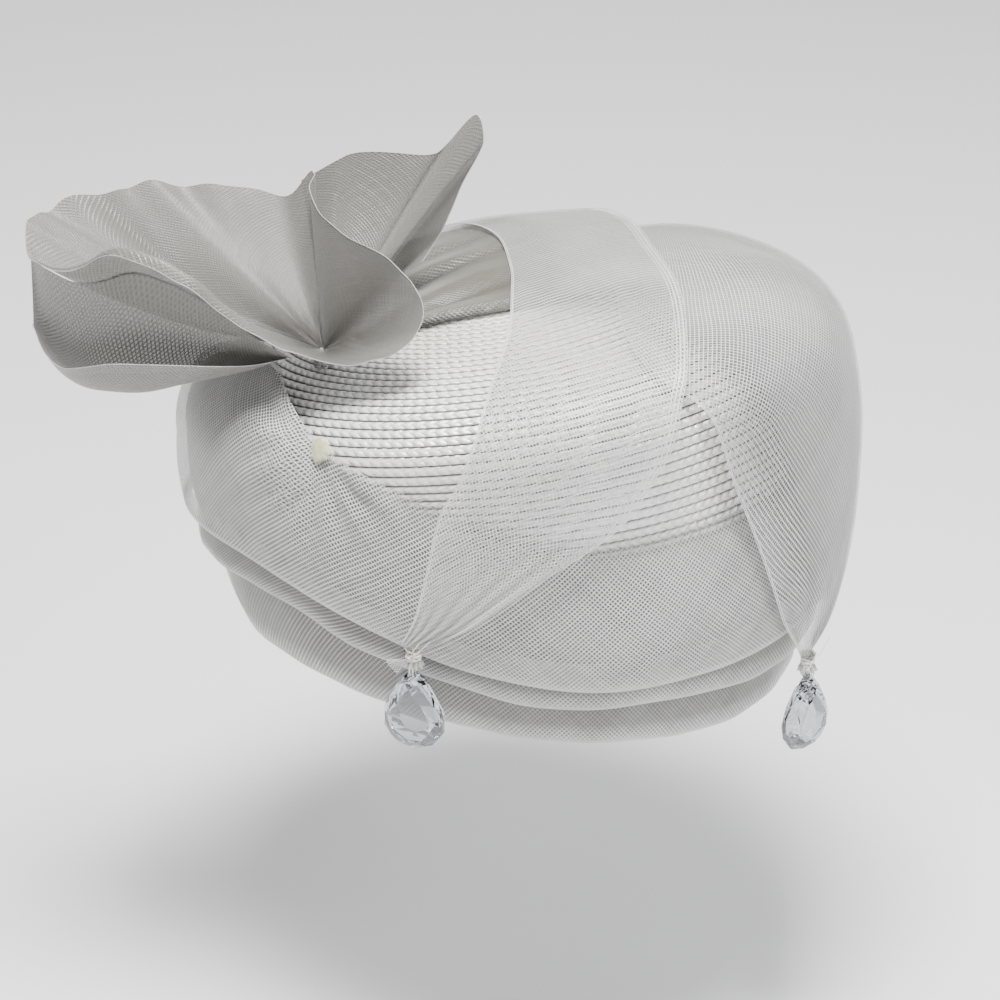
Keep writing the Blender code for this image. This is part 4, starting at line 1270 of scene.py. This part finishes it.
    def rear(self) -> Grid:
        """Shares of the lobe behind."""
        rim = np.array(self.rear_rim)
        at = np.linspace(0, len(rim) - 1, 110)
        around = smooth(np.arange(len(rim)), rim, at)
        down = np.linspace(self.rear_start, 1, 44)
        foot = np.array(self.rear_foot)
        grid = foot + (around - foot)[:, None, :] * down[None, :, None]
        grid[..., 1] -= (self.rear_hollow * np.sin(np.pi * down))[None, :]
        fold = np.sin(at * 2 * np.pi / 3.1)[:, None] * np.sin(np.pi * down / 2)[None, :]
        grid[..., 1] += 0.012 * fold
        return grid

    def lower(self) -> Grid:
        """Shares of the lobe that hangs under the funnel, from its back edge to its near lip."""
        rows = np.array(self.lower_rows)
        steps = 110
        at = smooth(np.arange(len(rows)), rows, np.linspace(0, len(rows) - 1, steps))
        lip, belly = at[:, [0, 1, 2]], at[:, [0, 3, 4]]
        places = np.linspace(*self.petal_places, steps)
        down = np.linspace(*self.petal_down, steps)
        step = CROWN.step
        by_place = self.wall(places + step, down) - self.wall(places - step, down)
        by_down = self.wall(places, down + step) - self.wall(places, down - step)
        outwards = np.cross(by_place, by_down)
        outwards /= np.linalg.norm(outwards, axis=1, keepdims=True)
        under = self.under * np.linspace(1, self.under_end, steps)[:, None]
        back = self.wall(places, down) + outwards * under * np.sign(-outwards[:, 2:])
        share = np.linspace(0, 1, 44)[None, :, None]
        middle = (2 * belly - (lip + back) / 2)[:, None]
        return back[:, None] * (1 - share) ** 2 + 2 * middle * share * (1 - share) + lip[:, None] * share**2

    def knot_net(self, finishes: Finishes) -> None:
        """The gathered knot: a low lump with radial folds."""
        p, q = flat(np.array([self.knot[0]]), np.array([self.knot[1]]))
        base = CROWN.on(p, q)[0]
        normal = Vector(CROWN.off(p, q, np.ones(1))[0] - base)
        turn_to = np.array(normal.to_track_quat("Z", "Y").to_matrix())
        around = np.linspace(0, 2 * np.pi, 97)[:, None]
        up = np.linspace(0, 1, 14)[None, :]
        radius = self.knot_width / 2 * np.cos(up * np.pi / 2) * (1 + 0.08 * np.sin(12 * around))
        height = LAYER_GAP + self.knot_height * np.sin(up * np.pi / 2) + 0 * around
        local = np.stack([np.cos(around) * radius, np.sin(around) * radius, height], axis=-1)
        places = base + local @ turn_to.T
        places[-1] = places[0]
        sheet = NetSheet("bow_knot_net", finishes.net, (0.012, 0.030), "folded", ["straw_top"], ["bow_knot"], area=0.00015)
        # Doubled net of the knot, with a little painted shade.
        sheet.build(places, up * 0.006, around * 0.005, 0.01, 0.35, 0.1)

    def build(self, finishes: Finishes) -> None:
        """Builds the knot and the three lobes."""
        self.knot_net(finishes)
        # Painted shade in the funnel's throat and along its main valley fold.
        throat = np.exp(-((np.linspace(0, 1, 46)[None, :] / 0.26) ** 1.4))
        around = np.linspace(0, len(self.funnel_rim), 341)[:, None]
        valley = np.exp(-(((around - self.creases[0][0]) / 0.35) ** 2)) * np.sin(np.pi * np.linspace(0, 1, 46)) ** 0.5
        throat = np.maximum(throat, self.valley_shade * valley)
        self.sheet("bow_funnel_net", "bow_funnel", self.funnel(), (0.085, 0.400), 0.0125, finishes, True, throat)
        # Painted shade at the rear lobe's foot by the knot.
        foot = 0.6 * np.exp(-np.linspace(0, 1, 44)[None, :] / 0.16)
        self.sheet("bow_rear_net", "bow_rear_petal", self.rear(), (0.085, 0.110), 0.0035, finishes, False, foot)
        self.sheet("bow_lower_net", "bow_lower_petal", self.lower(), (0.045, 0.110), 0.0048, finishes, False)
        self.lip_flap(finishes)


@dataclass
class Tie:
    """A gather's neck with the thread wound round it, and the loop that carries a drop."""

    side: str
    rows: tuple
    facing: float
    seed: int
    width: float = 0.0066
    height: float = 0.0052
    loop_radius: float = 0.0027
    thread: float = 0.00019
    sunk: float = 0.18
    turns: int = 10
    folds: int = 9
    sections: tuple = (
        # share down, share of the half width
        (0.0, 0.80),
        (0.2, 0.66),
        (0.42, 0.52),
        (0.6, 0.50),
        (0.8, 0.64),
        (1.0, 0.80),
        (1.25, 0.98),
    )
    tails: tuple = ()
    net_tail: bool = False

    def place(self, out: Grid, across: Grid, up: Grid) -> Grid:
        """World points at metres out from the hat, to the side and up from the gather's foot."""
        turn = math.radians(self.facing)
        axes = np.array([(math.cos(turn), math.sin(turn), 0), (-math.sin(turn), math.cos(turn), 0), (0, 0, 1)])
        row = self.rows[0]
        p, q = flat(np.array([row[0]]), np.array([(row[1] + row[3]) / 2]))
        foot = CROWN.off(p, q, np.array([row[5] * SWATH_STAND_OFF + NET_WALL / 2]))[0]
        foot = foot - np.array([0, 0, LAYER_GAP])
        return foot + np.stack(np.broadcast_arrays(out, across, up), axis=-1) @ axes

    def hinge(self) -> float:
        """Height of the drop's hinge over the gather's foot."""
        return -self.height - self.loop_radius * (2 - self.sunk)

    def neck(self) -> bpy.types.Object:
        """The net drawn together under the thread, flaring out again below it."""
        down, half = np.array(self.sections).T
        share = np.linspace(0, down[-1], 32)[None, :]
        spin = np.linspace(0, 2 * np.pi, 109)[:, None]
        radius = smooth(down, half[:, None], share[0])[:, 0][None, :] * self.width / 2
        radius = radius * (1 + 0.16 * np.sin(self.folds * spin + 2 * share))
        places = self.place(radius * np.cos(spin), radius * np.sin(spin), -share * self.height)
        places[-1] = places[0]
        uv = np.stack(np.broadcast_arrays(share * 5, spin * 12), axis=-1)
        shape = places.shape[:2]
        # Painted shade in the valleys of the neck's folds.
        marks = {"edge": 0.01, "dense": 0.55, "deep": 0.35 * (0.5 - 0.5 * np.sin(self.folds * spin + 2 * share))}
        return lay_grid("neck", places, uv, **{name: np.broadcast_to(v, shape) for name, v in marks.items()})

    def spare_net(self) -> bpy.types.Object:
        """A small fan of spare net beside the tie."""
        out, wide = np.linspace(0, 1, 14)[:, None], np.linspace(-1, 1, 22)[None, :]
        reach = 0.0012 + 0.0068 * out
        places = self.place(
            0.0026 + 0.0006 * np.sin(3 * wide) * out, -0.0006 - reach * np.cos(0.42 * wide - 0.55),
            -0.0030 + reach * np.sin(0.42 * wide - 0.55),
        )
        uv = np.stack(np.broadcast_arrays(out * 4, wide * 3), axis=-1)
        shape = places.shape[:2]
        marks = {"edge": 0.01, "dense": 0.25, "deep": 0.0}
        return lay_grid("spare", places, uv, **{name: np.broadcast_to(v, shape) for name, v in marks.items()})

    def build(self, finishes: Finishes) -> None:
        """Gathers the net, winds the thread and hangs the loop."""
        nets = [self.neck()] + ([self.spare_net()] if self.net_tail else [])
        settle(join("tie_" + self.side + "_net", nets), finishes.net, stands_for=["tie_" + self.side])
        chance = np.random.default_rng(self.seed)
        angle = np.linspace(0, 2 * np.pi, 44, endpoint=False)
        threads = []
        for turn in range(self.turns):
            radius = self.width / 2 * chance.uniform(0.60, 0.76)
            tilt, way = chance.uniform(-0.0016, 0.0016), chance.uniform(0, 2 * np.pi)
            up = -self.height * (0.30 + 0.50 * turn / self.turns) + tilt * np.cos(angle - way)
            wobble = 1 + 0.05 * np.sin(2 * angle + way)
            path = self.place(radius * wobble * np.cos(angle), radius * wobble * np.sin(angle), up)
            threads.append(tube("turn", path, self.thread, closed=True))
        low = -self.height - self.loop_radius * (1 - self.sunk)
        for twist in (-0.20, 0.20):
            ring = self.loop_radius * np.cos(angle)
            path = self.place(
                ring * math.cos(twist), ring * math.sin(twist), low + self.loop_radius * np.sin(angle),
            )
            threads.append(tube("loop", path, self.thread * 1.2, closed=True))
        for tail in self.tails:
            bends = np.array(tail) * MILLIMETRE
            path = smooth(np.arange(len(bends)), bends, np.linspace(0, len(bends) - 1, 30))
            threads.append(tube("tail", self.place(*path.T), self.thread * 0.8))
        made = join("tie_" + self.side + "_thread", threads)
        settle(made, finishes.thread, stands_for=["tie_" + self.side])


@dataclass
class GlueSpot:
    """The dried glue at the band's top edge."""

    place: tuple[float, float] = (0.905, 172.0)
    width: float = 0.0084
    height: float = 0.0011

    def build(self, finishes: Finishes) -> None:
        """Builds the flat uneven lump."""
        low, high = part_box("glue_tack")
        middle = np.array((low + high) / 2)
        p, q = flat(np.array([self.place[0]]), np.array([self.place[1]]))
        base = CROWN.on(p, q)[0]
        normal = CROWN.off(p, q, np.ones(1))[0] - base
        turn_to = np.array(Vector(normal).to_track_quat("Z", "Y").to_matrix())
        around = np.linspace(0, 2 * np.pi, 65)[:, None]
        up = np.linspace(0, 1, 12)[None, :]
        rough = 1 + 0.10 * np.sin(3 * around + 1) + 0.07 * np.sin(7 * around) + 0.05 * np.sin(11 * around + 2)
        radius = self.width / 2 * np.cos(up * np.pi / 2) * rough
        height = self.height * (np.sin(up * np.pi / 2) - 0.5) + 0 * around
        local = np.stack([np.cos(around) * radius, np.sin(around) * radius, height], axis=-1)
        places = middle + local @ turn_to.T
        places[-1] = places[0]
        thin = (1 - np.sin(up * np.pi / 2)) ** 3 * 0.8 + 0 * around
        made = lay_grid("glue_spot", places, np.zeros((*places.shape[:2], 2)), thin=thin)
        settle(made, finishes.glue, stands_for=["glue_tack"])


@dataclass
class Studio:
    """Plain pale floor, soft lights and the camera at the photograph's angle."""

    azimuth: float = -63.0
    elevation: float = 27.0
    distance: float = 1.1
    metres_a_pixel: float = 0.000366
    frame_pixels: int = 1000
    origin_pixel: tuple[int, int] = (516, 590)
    floor_height: float = -0.16
    lights: tuple = (
        # name, place, size, power, colour
        ("overhead", (-0.27, -0.12, 1.25), 0.42, 45.0, (1.0, 0.995, 0.98)),
        ("front", (-0.15, -1.45, 0.95), 0.6, 12.0, (0.93, 0.965, 1.0)),
        ("side", (-1.45, 0.35, 0.75), 0.6, 1.2, (1.0, 0.93, 0.84)),
        ("behind", (1.0, 0.5, 1.1), 0.8, 3.0, (1.0, 1.0, 1.0)),
    )
    sky: tuple = (
        # height, brightness
        (0.0, 0.10),
        (0.16, 0.22),
        (0.40, 0.80),
        (1.0, 1.15),
    )

    sky_strength: float = 0.68

    def camera(self) -> None:
        """Places the camera."""
        azimuth, elevation = math.radians(self.azimuth), math.radians(self.elevation)
        back = Vector((
            math.sin(azimuth) * math.cos(elevation), -math.cos(azimuth) * math.cos(elevation), math.sin(elevation),
        ))
        right = Vector((math.cos(azimuth), math.sin(azimuth), 0.0))
        up = back.cross(right)
        half = self.frame_pixels / 2
        aim = right * (half - self.origin_pixel[0]) * self.metres_a_pixel
        aim += up * (self.origin_pixel[1] - half) * self.metres_a_pixel
        data = bpy.data.cameras.new("camera")
        data.sensor_width = 36.0
        data.lens = data.sensor_width * self.distance / (self.frame_pixels * self.metres_a_pixel)
        made = bpy.data.objects.new("camera", data)
        bpy.context.collection.objects.link(made)
        made.matrix_world = Matrix.Translation(aim + back * self.distance) @ Matrix((right, up, back)).transposed().to_4x4()
        bpy.context.scene.camera = made

    def build(self) -> None:
        """Builds the floor, the lights and the surround."""
        deselect()
        bpy.ops.mesh.primitive_plane_add(size=12.0, location=(0, 0, self.floor_height))
        floor = bpy.context.object
        floor.name = "floor"
        graph = Graph("pale floor")
        graph.set(Base_Color=(0.93, 0.93, 0.93), Roughness=0.7)
        floor.data.materials.append(graph.material)
        for name, place, size, power, colour in self.lights:
            data = bpy.data.lights.new(name, "AREA")
            data.size, data.energy, data.color = size, power, colour
            light = bpy.data.objects.new(name, data)
            light.matrix_world = Matrix.Translation(place) @ (
                Vector(place).to_track_quat("Z", "Y").to_matrix().to_4x4()
            )
            bpy.context.collection.objects.link(light)
        world = bpy.data.worlds.new("surround")
        world.use_nodes = True
        nodes, links = world.node_tree.nodes, world.node_tree.links
        height = nodes.new("ShaderNodeSeparateXYZ")
        links.new(nodes.new("ShaderNodeTexCoord").outputs["Generated"], height.inputs[0])
        bands = nodes.new("ShaderNodeValToRGB")
        links.new(height.outputs[2], bands.inputs[0])
        for index, (level, brightness) in enumerate(self.sky):
            element = bands.color_ramp.elements[index] if index < 2 else bands.color_ramp.elements.new(level)
            element.position = level
            element.color = (brightness, brightness, brightness * 1.02, 1.0)
        links.new(bands.outputs[0], nodes["Background"].inputs["Color"])
        nodes["Background"].inputs["Strength"].default_value = self.sky_strength
        bpy.context.scene.world = world
        self.camera()


@dataclass
class CutDrop:
    """A pear-cut crystal with a wide table, two rows of facets on each side and a drilled tip."""

    tie: Tie
    body: Body
    length: float = 0.0310
    width: float = 0.0220
    depth: float = 0.0090
    sides: int = 10
    taper: float = 0.30
    point: float = 1.6
    hole_radius: float = 0.0014
    hole_below_tip: float = 0.0031
    layers: tuple = (
        # depth share, size share, turn
        (0.50, 0.00, 0.0),
        (0.50, 0.62, 0.0),
        (0.30, 0.86, 0.5),
        (0.07, 1.00, 0.0),
        (-0.05, 1.00, 0.0),
        (-0.32, 0.80, 0.5),
        (-0.50, 0.50, 0.0),
        (-0.50, 0.00, 0.0),
    )

    def outline(self, turn: Grid) -> tuple[Grid, Grid]:
        """Metres across and up from the middle of the pear's round end."""
        radius = self.width / 2
        tip = (1 - abs((turn + np.pi) % (2 * np.pi) - np.pi) / (np.pi / 2)).clip(0)
        rise = (self.length - 2 * radius) * tip**self.point
        return np.sin(turn) * radius * (1 - self.taper * tip**2), np.cos(turn) * radius + rise

    def build(self, finishes: Finishes) -> None:
        """Cuts the facets and drills the tip."""
        depth, size, turn = (column[:, None] for column in np.array(self.layers).T)
        around = np.arange(self.sides + 1)[None, :]
        across, up = self.outline(2 * np.pi * (around + turn) / self.sides)
        hinge = self.tie.hinge()
        up = hinge + self.hole_below_tip - (self.length - self.width / 2) + size * up
        places = self.tie.place(depth * self.depth, size * across, up)
        places[:, -1] = places[:, 0]
        name = "drop_" + self.tie.side
        made = lay_grid(name + "_cut", places, np.zeros((*places.shape[:2], 2)))
        bpy.ops.mesh.primitive_cylinder_add(vertices=20, radius=self.hole_radius, depth=self.width)
        drill = bpy.context.object
        middle = self.tie.place(np.zeros(1), np.zeros(1), np.array([hinge]))[0]
        turn_to = Matrix.Rotation(math.radians(self.tie.facing), 4, "Z") @ Matrix.Rotation(math.pi / 2, 4, "Y")
        drill.matrix_world = Matrix.Translation(middle) @ turn_to
        only(made)
        hole = made.modifiers.new("hole", "BOOLEAN")
        hole.operation, hole.object = "DIFFERENCE", drill
        bpy.ops.object.modifier_apply(modifier=hole.name)
        bpy.data.objects.remove(drill)
        made.data.shade_flat()
        settle(made, finishes.crystal, self.body, [name])


def main() -> None:
    """Builds every piece in order."""
    logging.basicConfig(level=logging.INFO, format="%(message)s")
    Studio().build()
    finishes = Finishes()
    StrawCrown().build(finishes.straw)
    SideBand().build(finishes)
    RimFold("rim_fold_middle_net", "rim_fold_middle", 0.0075, MIDDLE_FOLD_ROWS).build(finishes)
    RimFold("rim_fold_lower_net", "rim_fold_lower", 0.0028, LOWER_FOLD_ROWS).build(finishes)
    Swath(
        "side_swath_net", "side_swath", SIDE_SWATH_ROWS, (0.075, 0.300), ("straw_top", "side_band_outer"),
        (("", "swath", 0.0003, 0.0, 0.0, 1.0), ("_under", "backing", 0.0011, 0.02, 7.2, 0.60)),
    ).build(finishes)
    Swath(
        "front_swath_net", "front_swath", FRONT_SWATH_ROWS, (0.100, 0.330), ("straw_top", "side_band_outer"),
        (("", "swath", 0.0003, 0.0, 0.0, 1.0), ("_inner", "backing", 0.0011, 0.05, 0.0, 1.0)),
    ).build(finishes)
    PleatFan().build(finishes)
    Bow().build(finishes)
    GlueSpot().build(finishes)
    side_tie = Tie(
        "side", SIDE_SWATH_ROWS, 189.5, 3, net_tail=True, tails=(
            ((2.0, -0.5, -2.2), (3.2, 1.5, -0.8), (3.6, 4.4, 2.4), (3.8, 7.0, 5.4)),
            ((2.0, 0.0, -2.0), (3.1, 1.0, 0.6), (3.4, 3.0, 3.6)),
        ),
    )
    front_tie = Tie(
        "front", FRONT_SWATH_ROWS, 250.0, 8, tails=(
            ((1.8, 1.0, -1.6), (2.6, 3.4, -0.6), (2.4, 5.6, 1.4), (2.2, 8.4, 3.6)),
            ((2.0, -0.5, -2.2), (3.0, -1.8, -3.4), (2.7, -3.4, -4.6)),
        ),
    )
    for tie, body in ((side_tie, Body.SIDE_DROP), (front_tie, Body.FRONT_DROP)):
        tie.build(finishes)
        CutDrop(tie, body).build(finishes)


if __name__ == "__main__":
    main()
